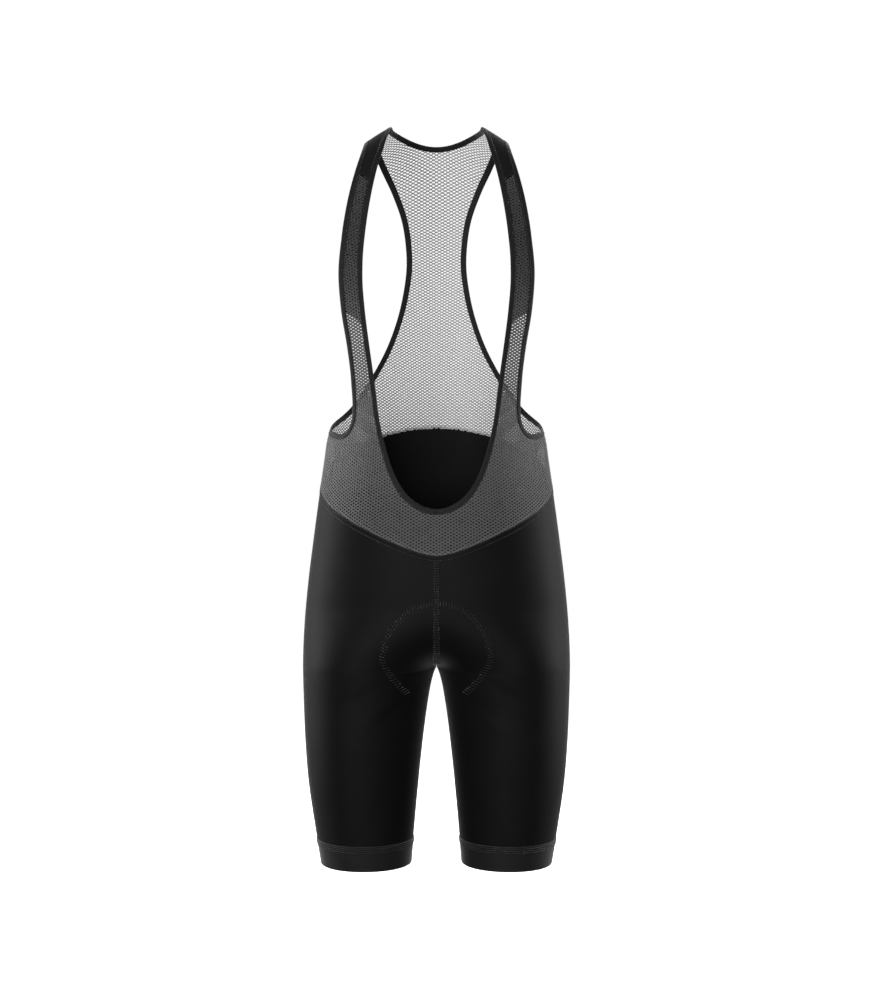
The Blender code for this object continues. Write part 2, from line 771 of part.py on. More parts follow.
def side_places(corner_fall):
    """Places on the left side seam, from just above the waist seam up to the armhole."""
    falls = np.linspace(fall_at(WAIST_SIDE + GAP / 2), corner_fall, SIDE_SEAM_STEPS)[1:-1]
    return np.stack([np.full(len(falls), HALF_GIRTH - GAP / 2), falls], axis=1)


def flipped(places):
    """The same places on the wearer's right, in the opposite order."""
    return places[::-1] * np.array([-1, 1])


def up_to_side(curve):
    """The part of an armhole rail on the front, ended at the side seam."""
    limit = HALF_GIRTH - GAP / 2
    last = np.argmax(curve[:, 0] > limit)
    t = (limit - curve[last - 1, 0]) / (curve[last, 0] - curve[last - 1, 0])
    return np.vstack([curve[:last], curve[last - 1] + t * (curve[last] - curve[last - 1])])


def make_front_mesh(neck, arm):
    """The yoke and both straps, cut in one piece."""
    neck_run = neck_inset(neck, BINDING_WIDTH + GAP)[CAP_STATIONS - 1:]
    arm_run = up_to_side(arm_inset(arm, BINDING_WIDTH + GAP))[CAP_STATIONS - 1:]
    neck_run[0, 1] += GAP / 2
    arm_run[0, 1] += GAP / 2
    waist_run = waist_places(FRONT)[HALF_COLUMNS:]
    half = np.vstack([waist_run, side_places(arm_run[-1, 1]), arm_run[::-1], neck_run])
    outline = np.vstack([half, flipped(half)[1:-1]])
    panel("front_mesh", FRONT, outline, MESH_CLOTH, MESH_FINISH)


def make_back_mesh(nape, arm):
    """The racer back, from the waist seam to the shoulder ridge."""
    neck_run = neck_inset(nape, BINDING_WIDTH + GAP)
    arm_run = arm_inset(arm, BINDING_WIDTH + GAP)[::-1]
    arm_run[:, 0] = 2 * HALF_GIRTH - arm_run[:, 0]
    arm_run = up_to_side(arm_run)[::-1]
    neck_run[0, 1] = GAP / 2
    arm_run[-1, 1] = GAP / 2
    waist_run = waist_places(BACK)[HALF_COLUMNS:]
    half = np.vstack([waist_run, side_places(arm_run[0, 1]), arm_run, neck_run])
    outline = np.vstack([half, flipped(half)[1:-1]])
    panel("back_mesh", BACK, outline, MESH_CLOTH, MESH_FINISH)


def strap_piece(neck, arm, first, last_neck, last_arm, margin):
    """Outline of a piece that fills a strap between its bindings."""
    neck_run = neck_inset(neck, BINDING_WIDTH + margin)[first:last_neck]
    arm_run = arm_inset(arm, BINDING_WIDTH + margin)[first:last_arm]
    neck_run[0, 1] += GAP / 2
    arm_run[0, 1] += GAP / 2
    neck_run[-1, 1] -= GAP / 2
    arm_run[-1, 1] -= GAP / 2
    return np.vstack([neck_run, arm_run[::-1]])


def make_strap_pieces(neck, arm):
    """The solid caps over the shoulders, and the black backing behind each strap's mesh."""
    cap = strap_piece(neck, arm, 0, CAP_STATIONS, CAP_STATIONS, GAP)
    left = panel("shoulder_cap_left", FRONT, cap, CAP_CLOTH, LYCRA_FINISH)
    mirrored("shoulder_cap_right", left)
    last_neck = np.argmax(neck[:, 1] >= fall_at(BACKING_END_INNER)) + 1
    last_arm = np.argmax(arm[:, 1] >= fall_at(BACKING_END_OUTER)) + 1
    backing = strap_piece(neck, arm, CAP_STATIONS - 1, last_neck, last_arm, 2 * GAP)
    depth = MESH_CLOTH + BACKING_GAP
    left = panel("strap_backing_left", FRONT, backing, BACKING_CLOTH, BACKING_FINISH, depth)
    mirrored("strap_backing_right", left)


def make_bindings(neck, nape, arm):
    """The bound neck edge, one closed loop, and the two bound armholes."""
    inner = neck_inset(neck, BINDING_WIDTH)
    nape_inner = neck_inset(nape, BINDING_WIDTH)
    edges = []
    for front, back in ((neck, nape), (inner, nape_inner)):
        left = np.vstack([front[::-1], back[1:]])
        edges.append(np.vstack([left, flipped(left)[1:-1]]))
    sides = np.array([FRONT] * len(neck) + [BACK] * (len(nape) - 1))
    sides = np.concatenate([sides, sides[::-1][1:-1]])
    band("neck_binding", edges[0], edges[1], sides, BINDING_FINISH)

    inner = arm_inset(arm, BINDING_WIDTH)
    sides = np.array([FRONT] * (SIDE_STATION + 1) + [BACK] * (len(arm) - SIDE_STATION - 1))
    rails = []
    for rail in (arm, inner):
        rail = rail.copy()
        rail[sides == BACK, 0] = 2 * HALF_GIRTH - rail[sides == BACK, 0]
        rails.append(rail[:-1])
    left = band("armhole_binding_left", rails[0], rails[1], sides[:-1], BINDING_FINISH)
    mirrored("armhole_binding_right", left)


def main():
    """Clear the scene and make every piece."""
    for thing in list(bpy.data.objects):
        bpy.data.objects.remove(thing)
    neck = neck_front()
    nape = neck_back()
    arm = armhole()
    make_front_mesh(neck, arm)
    make_back_mesh(nape, arm)
    make_strap_pieces(neck, arm)
    make_bindings(neck, nape, arm)
    make_pad(*make_shorts())
    make_hem_bands()


main()
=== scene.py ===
"""Cycling bib shorts, filled out as when worn: the finished cloth, net, bindings and sewing.

The cloth is drafted on a flat pattern and laid over one hollow form. A place on the pattern has two
coordinates: `across`, the distance round from the centre line (the side seam is at HALF_GIRTH), and
`fall`, the distance down the cloth from the shoulder ridge. Past the side seam, or over the ridge, a
place runs on to the other side of the garment.

Metres, +Z up. +X is the wearer's left, -Y the front.
"""

import math
from collections import namedtuple

import bpy
import numpy as np
from bpy.props import FloatProperty, FloatVectorProperty, PointerProperty
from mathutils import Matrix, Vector


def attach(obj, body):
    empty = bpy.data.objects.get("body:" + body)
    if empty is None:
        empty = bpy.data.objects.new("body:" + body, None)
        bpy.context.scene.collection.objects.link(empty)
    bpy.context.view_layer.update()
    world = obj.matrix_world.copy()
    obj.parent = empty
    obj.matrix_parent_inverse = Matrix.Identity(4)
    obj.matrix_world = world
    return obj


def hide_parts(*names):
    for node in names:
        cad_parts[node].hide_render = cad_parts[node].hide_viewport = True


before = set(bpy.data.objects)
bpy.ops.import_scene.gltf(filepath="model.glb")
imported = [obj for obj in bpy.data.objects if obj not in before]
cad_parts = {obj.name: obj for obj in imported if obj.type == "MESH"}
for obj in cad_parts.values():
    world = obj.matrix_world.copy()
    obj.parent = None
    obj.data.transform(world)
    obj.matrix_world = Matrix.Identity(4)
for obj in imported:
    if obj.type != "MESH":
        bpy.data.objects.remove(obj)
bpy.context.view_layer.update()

bl_info = {
    "name": "Cycling Bib Shorts",
    "version": (1, 0, 0),
    "blender": (4, 5, 0),
    "location": "View3D > Sidebar > Bib Shorts",
    "description": "Stretch shorts with a net bib, bindings, sewing and a seat pad",
    "category": "Add Mesh",
}

CLOTH_MAP = "Cloth"
# The point attribute with each point's share of painted shade, from 0 to 1, which the materials read to
# darken their colour.
SHADE_ATTRIBUTE = "Depth"

# Cloth and seams.
GAP = 0.0003
LYCRA = 0.0012
FRONT_NET_CLOTH = 0.0009
BACK_NET_CLOTH = 0.0005
CAP_CLOTH = 0.0012
CAP_PROUD = 0.0002
BACKING_CLOTH = 0.0008
BACKING_DEPTH = 0.0017
BAND_CLOTH = 0.0018
BAND_PROUD = 0.0004
BINDING_WIDTH = 0.0065
BINDING_MIDDLE = -0.0005
PAD_GAP = 0.0008
PAD_MIDDLE = 0.0070
PAD_RIM = 0.0015

# The form: shoulders, crotch and legs.
FRONT = -1
BACK = 1
HALF_GIRTH = 0.200
CHEST_DROP = 0.180
CHEST_FALL = 0.236
SHOULDER_ROUNDNESS = {FRONT: 2.2, BACK: 2.6}
RIDGE_LEVEL_X = 0.067
RIDGE_CURVE = 4.7
RIDGE_FADE = 0.110
ROUNDNESS = 2.15
CREASE_RADIUS = 0.015
CROTCH = -0.638
HEM_SEAM = -0.840
HEM = -0.870
LEG_GAP = 0.030
LEG_GAP_POWER = 0.62
SADDLE_RISE = {FRONT: 0.075, BACK: 0.150}
SADDLE_POWER = {FRONT: 3.0, BACK: 3.5}
SADDLE_EASE = 0.78

# How finely the form's curves are sampled before they are read.
OUTLINE_SAMPLES = 160
ARCH_SAMPLES = 400
CURVE_SAMPLES = 1600
PATTERN_SAMPLES = 3000
PAD_LINE_STATIONS = 60
PAD_LINE_STEP = CURVE_SAMPLES // 80
POINTS_AT_ONCE = 4000
NORMAL_STEP = 0.001
SMALLEST_FACE = 1e-9
TINY = 1e-12

# The waist seam, from the centre front to the side and up to the centre back.
WAIST_FRONT = -0.503
WAIST_SIDE = -0.418
WAIST_BACK = -0.349
WAIST_POINT = 0.12
PAD_TOP = -0.554
PAD_END = -0.690

# The bib's edges on the shoulder ridge, and the seams that end on them.
STRAP_INNER = 0.053
STRAP_OUTER = 0.086
NECK_POINT = -0.4488
NAPE_FALL = 0.0625
ARMHOLE_SIDE = -0.350
CAP_SEAM_INNER = -0.068
CAP_SEAM_OUTER = -0.062
BACKING_END_INNER = -0.236
BACKING_END_OUTER = -0.222

# Mirrors of pattern places: across the centre line, and over the shoulder ridge.
ACROSS_CENTRE = (-1, 1)
OVER_RIDGE = (1, -1)

# Each hand of a paired piece, and whether it is the mirror copy.
HANDS = (("left", False), ("right", True))

# How finely the cloth is divided.
HALF_COLUMNS = 58
PAD_COLUMNS = 18
YOKE_ROWS = 28
SADDLE_ROWS = 32
SADDLE_CROWDING = 1.35
LEG_ROWS = 66
LEG_CROWDING = 1.3
BAND_ROWS = 12
PAD_ROWS = 26
CAP_STATIONS = 14
STRAP_STATIONS = 170
NAPE_STATIONS = 44
ARM_STATIONS = 150
BACKING_STATIONS = 48
STRIP_COLUMNS = 14
WAIST_STATIONS = 90
CENTRE_SEAM_STATIONS = 120
SIDE_SEAM_STATIONS = 40
CAP_SEAM_STATIONS = 24

# The rounded profile of the bindings and seam tapes.
PROFILE_POINTS = 14
PROFILE_ROUNDNESS = 3.0
PROFILE_FULLNESS = 0.66

Section = namedtuple("Section", "level half_width front side back")
SECTIONS = [
    Section(0.000, 0.1950, -0.110, 0.000, 0.105),
    Section(-0.060, 0.1900, -0.110, 0.000, 0.105),
    Section(-0.120, 0.1780, -0.110, 0.000, 0.105),
    Section(-0.180, 0.1600, -0.110, 0.000, 0.105),
    Section(-0.240, 0.1460, -0.110, 0.000, 0.099),
    Section(-0.300, 0.1340, -0.107, 0.000, 0.090),
    Section(-0.350, 0.1265, -0.104, 0.000, 0.085),
    Section(-0.366, 0.1305, -0.104, 0.000, 0.085),
    Section(-0.390, 0.1340, -0.104, 0.000, 0.087),
    Section(-0.438, 0.1410, -0.105, 0.000, 0.092),
    Section(-0.486, 0.1475, -0.106, 0.001, 0.102),
    Section(-0.534, 0.1535, -0.107, 0.002, 0.114),
    Section(-0.582, 0.1580, -0.105, 0.004, 0.121),
    Section(-0.630, 0.1600, -0.099, 0.005, 0.116),
    Section(-0.678, 0.1590, -0.091, 0.004, 0.101),
    Section(-0.726, 0.1570, -0.086, 0.003, 0.089),
    Section(-0.774, 0.1530, -0.080, 0.001, 0.079),
    Section(-0.822, 0.1460, -0.073, 0.000, 0.070),
    Section(-0.870, 0.1380, -0.066, -0.001, 0.062),
]

# The pad's edge, as a share of the way from the centre line, or the inseam, to the side.
PadEdge = namedtuple("PadEdge", "level front back")
PAD_EDGES = [
    PadEdge(-0.349, 0.286, 0.286),
    PadEdge(PAD_TOP, 0.290, 0.330),
    PadEdge(-0.590, 0.290, 0.370),
    PadEdge(-0.620, 0.320, 0.410),
    PadEdge(-0.638, 0.420, 0.480),
    PadEdge(-0.660, 0.350, 0.390),
    PadEdge(-0.700, 0.240, 0.260),
    PadEdge(-0.740, 0.280, 0.280),
    PadEdge(-0.870, 0.286, 0.286),
]

# Edges of the bib as seen squarely from the front or the back, from the top of the strap down.
Edge = namedtuple("Edge", "x z")
NECK_EDGE = [
    Edge(0.0570, -0.008),
    Edge(0.0615, -0.028),
    Edge(0.0672, -0.050),
    Edge(0.0758, -0.093),
    Edge(0.0812, -0.130),
    Edge(0.0844, -0.165),
    Edge(0.0846, -0.190),
    Edge(0.0826, -0.216),
    Edge(0.0775, -0.258),
    Edge(0.0709, -0.306),
    Edge(0.0663, -0.343),
    Edge(0.0600, -0.372),
    Edge(0.0540, -0.393),
    Edge(0.0450, -0.415),
    Edge(0.0335, -0.432),
    Edge(0.0205, -0.4425),
    Edge(0.0100, -0.4472),
]
ARMHOLE_FRONT_EDGE = [
    Edge(0.0880, -0.033),
    Edge(0.0945, -0.059),
    Edge(0.1020, -0.092),
    Edge(0.1090, -0.135),
    Edge(0.1130, -0.182),
    Edge(0.1100, -0.220),
    Edge(0.1030, -0.263),
    Edge(0.0984, -0.305),
    Edge(0.0972, -0.332),
    Edge(0.0994, -0.3495),
    Edge(0.1045, -0.3585),
    Edge(0.1110, -0.3612),
    Edge(0.1185, -0.3590),
]
ARMHOLE_BACK_EDGE = [
    Edge(0.0684, -0.030),
    Edge(0.0544, -0.058),
    Edge(0.0440, -0.0865),
    Edge(0.0388, -0.118),
    Edge(0.0378, -0.143),
    Edge(0.0414, -0.175),
    Edge(0.0495, -0.211),
    Edge(0.0630, -0.249),
    Edge(0.0814, -0.285),
    Edge(0.1043, -0.322),
]

# The line that sews the pad in, from the centre down and in towards the inseam.
PAD_SEAM = {
    FRONT: [Edge(0.0000, -0.554), Edge(0.0280, -0.562), Edge(0.0450, -0.578), Edge(0.0545, -0.590),
            Edge(0.0605, -0.609), Edge(0.0620, -0.620), Edge(0.0560, -0.634), Edge(0.0450, -0.650),
            Edge(0.0320, -0.664)],
    BACK: [Edge(0.0000, -0.556), Edge(0.0330, -0.563), Edge(0.0560, -0.582), Edge(0.0680, -0.606),
           Edge(0.0670, -0.630), Edge(0.0560, -0.652), Edge(0.0400, -0.670)],
}

# Soft creases: where the middle of each lies, how far it leans from upright, and its size.
Crease = namedtuple("Crease", "side x z lean length width depth")
CREASES = [
    Crease(FRONT, 0.046, -0.672, 42, 0.060, 0.0060, -0.0010),
    Crease(FRONT, 0.063, -0.690, 34, 0.048, 0.0075, 0.0007),
    Crease(FRONT, 0.072, -0.655, 52, 0.050, 0.0070, -0.0006),
    Crease(FRONT, -0.044, -0.676, -45, 0.056, 0.0058, -0.0011),
    Crease(FRONT, -0.066, -0.686, -38, 0.052, 0.0080, 0.0006),
    Crease(FRONT, -0.079, -0.660, -55, 0.042, 0.0060, -0.0005),
    Crease(FRONT, 0.100, -0.800, 8, 0.070, 0.0090, -0.0005),
    Crease(FRONT, -0.061, -0.790, -12, 0.060, 0.0080, -0.0005),
    Crease(BACK, 0.060, -0.672, 62, 0.100, 0.0080, -0.0018),
    Crease(BACK, 0.083, -0.692, 70, 0.074, 0.0070, -0.0010),
    Crease(BACK, -0.058, -0.676, -60, 0.094, 0.0085, -0.0017),
    Crease(BACK, -0.088, -0.689, -72, 0.080, 0.0070, -0.0011),
    Crease(BACK, 0.070, -0.775, 82, 0.086, 0.0075, -0.0009),
    Crease(BACK, -0.075, -0.783, -84, 0.076, 0.0080, -0.0010),
    Crease(BACK, 0.095, -0.520, 15, 0.070, 0.0090, -0.0006),
    Crease(BACK, -0.088, -0.506, -18, 0.062, 0.0080, -0.0006),
    Crease(FRONT, 0.112, -0.392, 4, 0.040, 0.0030, -0.0009),
    Crease(FRONT, 0.119, -0.398, 6, 0.046, 0.0028, -0.0010),
    Crease(FRONT, 0.125, -0.404, 8, 0.052, 0.0030, -0.0011),
    Crease(FRONT, -0.114, -0.390, -4, 0.036, 0.0028, -0.0009),
    Crease(FRONT, -0.121, -0.400, -7, 0.050, 0.0030, -0.0012),
    Crease(FRONT, -0.127, -0.396, -8, 0.044, 0.0026, -0.0010),
    Crease(BACK, 0.0720, -0.288, -14, 0.042, 0.0032, -0.0010),
    Crease(BACK, 0.0575, -0.265, -7, 0.040, 0.0030, -0.0008),
    Crease(BACK, -0.0720, -0.288, 14, 0.044, 0.0030, -0.0010),
    Crease(BACK, -0.0575, -0.262, 7, 0.038, 0.0032, -0.0008),
]

# The creases fade out towards the centre line and the inseam. The cloth swells over the pad.
INSEAM_FADE = 0.030
PAD_SWELL = 0.0007
PAD_SLOPE = 0.007
PAD_FADE = 0.034

# The pad itself: how its ends narrow, how its foam thins, and the channel along each half.
PAD_START = 0.004
PAD_TAPER = 2.2
PAD_BLUNTNESS = 0.04
PAD_END_ROUNDNESS = 2.4
PAD_END_SLOPE = 3.0
PAD_CHANNEL_DEPTH = 0.45
PAD_CHANNEL_PLACE = 0.52
PAD_CHANNEL_WIDTH = 0.06
PAD_FLAT_SIDE = 0.1
PAD_FLAT_STEPS = (0.004, 0.005)

# The nets down the cloth: how wide and how high the holes are as a share of their cells, and how much
# painted shade darkens the threads' ridges, over the straps in front and near the waist behind.
Opening = namedtuple("Opening", "level wide high shade")
FRONT_OPENINGS = [
    Opening(0.000, 0.62, 0.24, 0.60),
    Opening(-0.215, 0.62, 0.24, 0.55),
    Opening(-0.245, 0.60, 0.24, 0.10),
    Opening(-0.300, 0.56, 0.22, 0.00),
    Opening(-0.345, 0.36, 0.12, 0.05),
    Opening(-0.395, 0.36, 0.12, 0.05),
    Opening(-0.430, 0.56, 0.24, 0.00),
    Opening(-0.503, 0.64, 0.30, 0.00),
]
BACK_OPENINGS = [
    Opening(0.000, 0.78, 0.48, 0.00),
    Opening(-0.180, 0.78, 0.48, 0.00),
    Opening(-0.290, 0.76, 0.42, 0.10),
    Opening(-0.349, 0.74, 0.34, 0.20),
    Opening(-0.418, 0.74, 0.32, 0.20),
]
HOLE_CORNERS = 6
CLOSED_BY_SEAM = 0.006
LEAST_OPEN = 0.1
TUCK = 0.0012

# How far the legs and grippers stretch.
STRETCH = 1.12

# Sewing. SEAM_MIDDLE, SEAM_STITCH_HEIGHT and RUNG_HEIGHT are shares of a seam's height, and
# SEAM_STITCH_REACH and RUNG_REACH of its width. The side and cap seams are shares of SEAM_WIDTH.
THREAD = 0.00028
SEAM_WIDTH = 0.0070
SEAM_HEIGHT = 0.0004
SEAM_MIDDLE = 0.15
SEAM_STITCH_REACH = 0.36
SEAM_STITCH_HEIGHT = 0.65
SEAM_START = 0.004
SEAM_STOP = 0.006
SIDE_SEAM_SHARE = 0.6
CAP_SEAM_SHARE = 0.35
RUNG_PITCH = 0.0029
RUNG_REACH = 0.40
RUNG_HEIGHT = 0.8
WAIST_SEAM_WIDTH = 0.0066
WAIST_SEAM_HEIGHT = 0.0002
WAIST_SEAM_OVERLAP = 0.0018
STITCH_PITCH = 0.0027
STITCH_SHARE = 0.66
PAD_STITCH_PITCH = 0.0034
PAD_STITCH_REACH = 0.0034
PAD_STITCH_SLANT = 0.7
HEM_STITCH_DROPS = (0.0024, 0.0048, 0.0072)
HEM_STITCH_HEIGHT = 0.0006
BINDING_STITCH = 0.0050
BINDING_STITCH_START = 0.030
THREAD_SIDES = 5
SHARP = math.radians(55)

# The stage.
CAMERA_DISTANCE = 2.0
CAMERA_HEIGHT = -0.438
CAMERA_SIDE = -0.0012
PICTURE_HEIGHT = 1.2
SENSOR = 36.0
FLOOR_LEVEL = -1.10
FLOOR_SIZE = 14.0
SURROUND_LIGHT = 0.05
LIGHTS_AIM = (0, 0, -0.45)
Softbox = namedtuple("Softbox", "name place width height power")
SOFTBOXES = [
    Softbox("left_strip", (-2.0, 0.7, -0.2), 0.6, 1.5, 46),
    Softbox("right_strip", (2.0, 0.7, -0.2), 0.6, 1.5, 40),
    Softbox("front_soft", (-0.5, -2.7, -0.3), 1.8, 1.4, 74),
    Softbox("rear_soft", (0.6, 2.4, 0.8), 1.8, 1.4, 32),
]


# ---------------------------------------------------------------- what a user may change

class BibSizes(bpy.types.PropertyGroup):
    """Sizes of the net, the seams and the bindings."""

    net_pitch: FloatProperty(
        name="Net pitch", description="Distance between holes down the net", default=0.0037,
        min=0.002, max=0.010, subtype="DISTANCE", unit="LENGTH")
    front_opening: FloatProperty(
        name="Front net opening", description="How far the front net's holes open",
        default=1.0, min=0.2, max=1.15, subtype="FACTOR")
    back_opening: FloatProperty(
        name="Back net opening", description="How far the back net's holes open",
        default=1.0, min=0.2, max=1.15, subtype="FACTOR")
    binding_thickness: FloatProperty(
        name="Binding thickness", description="Thickness of the folded binding", default=0.0021,
        min=0.001, max=0.006, subtype="DISTANCE", unit="LENGTH")


class BibColours(bpy.types.PropertyGroup):
    """Colours of the cloths."""

    lycra: FloatVectorProperty(
        name="Stretch knit", description="Colour of the shorts", default=(0.0050, 0.0050, 0.0053),
        size=3, min=0, max=1, subtype="COLOR")
    front_net: FloatVectorProperty(
        name="Front net", description="Colour of the yoke and straps", default=(0.115, 0.115, 0.118),
        size=3, min=0, max=1, subtype="COLOR")
    # The racer back's pale colour is painted light: it is far paler than the front net to stand in for
    # light shining through its yarn from behind.
    back_net_painted_backlight: FloatVectorProperty(
        name="Back net", description="Colour of the racer back", default=(0.42, 0.42, 0.425),
        size=3, min=0, max=1, subtype="COLOR")
    binding: FloatVectorProperty(
        name="Binding", description="Colour of the bound edges", default=(0.013, 0.013, 0.0135),
        size=3, min=0, max=1, subtype="COLOR")
    gripper: FloatVectorProperty(
        name="Leg gripper", description="Colour of the leg bands", default=(0.012, 0.012, 0.0125),
        size=3, min=0, max=1, subtype="COLOR")
    pad: FloatVectorProperty(
        name="Seat pad", description="Colour of the pad's fleece", default=(0.030, 0.030, 0.034),
        size=3, min=0, max=1, subtype="COLOR")


def sizes():
    """The sizes that the scene holds."""
    return bpy.context.scene.bib_sizes


def colours():
    """The colours that the scene holds."""
    return bpy.context.scene.bib_colours


# ---------------------------------------------------------------- curves and tables

def column(table, name):
    """One named column of a table, as an array."""
    return np.array([getattr(row, name) for row in table])


def smooth(x, xs, ys):
    """Read at x the smooth cubic through the points (xs, ys), whose xs rise."""
    x = np.clip(x, xs[0], xs[-1])
    slopes = np.gradient(ys, xs)
    i = np.clip(np.searchsorted(xs, x) - 1, 0, len(xs) - 2)
    step = xs[i + 1] - xs[i]
    t = (x - xs[i]) / step
    here = ys[i] * (1 + 2 * t) * (1 - t) ** 2 + slopes[i] * step * t * (1 - t) ** 2
    there = ys[i + 1] * t * t * (3 - 2 * t) - slopes[i + 1] * step * t * t * (1 - t)
    return here + there


def ease(share):
    """A share from 0 to 1 that starts and ends softly."""
    share = np.clip(share, 0, 1)
    return share * share * (3 - 2 * share)


def read_down(table, name, level):
    """Read a table whose levels run downwards."""
    return smooth(-level, -column(table, "level"), column(table, name))


def lengths(points):
    """Distance along a run of points, starting at 0."""
    steps = np.linalg.norm(np.diff(points, axis=0), axis=1)
    return np.concatenate([[0.0], np.cumsum(steps)])


def curve_through(points):
    """A smooth curve through a few points, as many evenly spaced points."""
    points = np.asarray(points)
    along = lengths(points)
    fine = np.linspace(0, along[-1], 4 * CURVE_SAMPLES)
    dense = np.stack([smooth(fine, along, points[:, k]) for k in range(points.shape[1])], axis=1)
    return stations(dense, [0.0, 1.0], [CURVE_SAMPLES])


def stations(curve, shares, counts):
    """Points on a curve: counts[k] points from shares[k] to shares[k + 1] of its length."""
    along = lengths(curve)
    stops = [np.linspace(a, b, n) for a, b, n in zip(shares[:-1], shares[1:], counts)]
    stops = np.concatenate([stops[0]] + [run[1:] for run in stops[1:]]) * along[-1]
    return np.stack([np.interp(stops, along, curve[:, k]) for k in range(curve.shape[1])], axis=1)


# ---------------------------------------------------------------- the form

def edge_of(side):
    """The name of a side's column in the tables."""
    return "front" if side == FRONT else "back"


def shoulder_arch(side):
    """The shoulder's profile: share of the fall to the chest, share of its depth, and level."""
    angle = np.linspace(0, np.pi / 2, ARCH_SAMPLES)
    power = 2 / SHOULDER_ROUNDNESS[side]
    depth = np.sin(angle) ** power
    level = -CHEST_DROP * (1 - np.cos(angle) ** power)
    chest = abs(read_down(SECTIONS, edge_of(side), -CHEST_DROP))
    along = lengths(np.stack([depth * chest, level], axis=1))
    return along / along[-1], depth, level


ARCHES = {side: shoulder_arch(side) for side in (FRONT, BACK)}


def level_at(side, fall):
    """Height on the centre profile, before the ridge's own slope is added."""
    share, _, level = ARCHES[side]
    over_shoulder = np.interp(fall / CHEST_FALL, share, level)
    return np.where(fall < CHEST_FALL, over_shoulder, CHEST_FALL - CHEST_DROP - fall)


def fall_at(level):
    """Fall of a level below the chest."""
    return CHEST_FALL - CHEST_DROP - level


def ridge_lift(x, level):
    """How far the shoulders slope: up towards the neck, down towards the arm."""
    fade = np.clip(1 + level / RIDGE_FADE, 0, 1) ** 2
    return RIDGE_CURVE * (RIDGE_LEVEL_X ** 2 - x ** 2) * fade


def leg_gap(level):
    """Half the gap between the legs."""
    drop = np.clip((CROTCH - level) / (CROTCH - HEM), 0, None)
    return LEG_GAP * drop ** LEG_GAP_POWER


def saddle_share(side, level):
    """How full the centre line is just above the crotch, from 0 there to 1 at the belly."""
    rise = np.clip((level - CROTCH) / SADDLE_RISE[side], 0, 1)
    return (1 - (1 - rise) ** SADDLE_POWER[side]) ** SADDLE_EASE


def half_outline(side, fall):
    """Level outlines from the centre line, or the inseam, to the side: x, y and length shares."""
    level = level_at(side, fall)
    share, depth, _ = ARCHES[side]
    arch = np.interp(fall / CHEST_FALL, share, depth)
    middle = read_down(SECTIONS, "side", level)
    reach = (read_down(SECTIONS, edge_of(side), level) - middle) * arch
    outer = np.hypot(read_down(SECTIONS, "half_width", level), CREASE_RADIUS)
    inner = np.hypot(leg_gap(level), CREASE_RADIUS)
    fullness = saddle_share(side, level)
    cut = (1 - fullness ** ROUNDNESS) ** (1 / ROUNDNESS)
    centre = (inner + outer * cut) / (1 + cut)
    start = -np.arcsin(np.clip(cut ** (ROUNDNESS / 2), 0, 1))
    turn = start[:, None] + (np.pi / 2 - start[:, None]) * np.linspace(0, 1, OUTLINE_SAMPLES)
    out = np.sign(np.sin(turn)) * np.abs(np.sin(turn)) ** (2 / ROUNDNESS)
    x = centre[:, None] + (outer - centre)[:, None] * out
    x = np.sqrt(np.clip(x ** 2 - CREASE_RADIUS ** 2, 0, None))
    y = middle[:, None] + reach[:, None] * np.clip(np.cos(turn), 0, None) ** (2 / ROUNDNESS)
    steps = np.hypot(np.diff(x, axis=1), np.diff(y, axis=1))
    along = np.concatenate([np.zeros((len(x), 1)), np.cumsum(steps, axis=1)], axis=1)
    return x, y, along / along[:, -1:]


def read_rows(at, xs, ys):
    """Read each row of the curve (xs, ys) at its own place, xs rising along a row."""
    i = np.clip((xs < at[:, None]).sum(axis=1) - 1, 0, xs.shape[1] - 2)
    row = np.arange(len(at))
    t = (at - xs[row, i]) / np.maximum(xs[row, i + 1] - xs[row, i], TINY)
    return ys[row, i] * (1 - t) + ys[row, i + 1] * t


def fold(side, across, fall):
    """Bring places past the side seam or over the ridge back to the side where they lie."""
    across, fall, side = (np.array(v, float).ravel() for v in np.broadcast_arrays(across, fall, side))
    side = np.where(fall < 0, -side, side)
    beyond = np.abs(across) > HALF_GIRTH
    side = np.where(beyond, -side, side)
    across = np.where(beyond, np.sign(across) * (2 * HALF_GIRTH - np.abs(across)), across)
    return side, across, np.abs(fall)


def form(side, across, fall):
    """Points of the form under pattern places."""
    side, across, fall = fold(side, across, fall)
    share = np.abs(across) / HALF_GIRTH
    points = np.zeros((len(share), 3))
    for half in (FRONT, BACK):
        pick = side == half
        if not pick.any():
            continue
        x, y, shares = half_outline(half, fall[pick])
        at_x = read_rows(share[pick], shares, x)
        level = level_at(half, fall[pick])
        points[pick, 0] = at_x * np.where(across[pick] < 0, -1, 1)
        points[pick, 1] = read_rows(share[pick], shares, y)
        points[pick, 2] = level + ridge_lift(at_x, level)
    return points


def outward(side, across, fall):
    """Unit vectors that point out of the form."""
    along = form(side, across + NORMAL_STEP, fall) - form(side, across - NORMAL_STEP, fall)
    down = form(side, across, fall + NORMAL_STEP) - form(side, across, fall - NORMAL_STEP)
    normal = np.cross(along, down) * np.broadcast_to(side, len(along))[:, None]
    return normal / np.linalg.norm(normal, axis=1, keepdims=True)


def on_pattern(side, x, z):
    """The pattern place (across, fall) of a point of the form, from its x and z."""
    falls = np.linspace(0, fall_at(HEM), PATTERN_SAMPLES)
    levels = level_at(side, falls)
    heights = levels + ridge_lift(abs(x), levels)
    fall = np.interp(-z, -heights, falls)
    outline_x, _, shares = half_outline(side, np.array([fall]))
    return math.copysign(HALF_GIRTH, x) * np.interp(abs(x), outline_x[0], shares[0]), fall


def on_ridge(x):
    """The pattern place of a point on the shoulder ridge."""
    return HALF_GIRTH * x / SECTIONS[0].half_width, 0.0


# ---------------------------------------------------------------- relief: creases and the pad

CREASE_PLACES = [on_pattern(crease.side, crease.x, crease.z) for crease in CREASES]


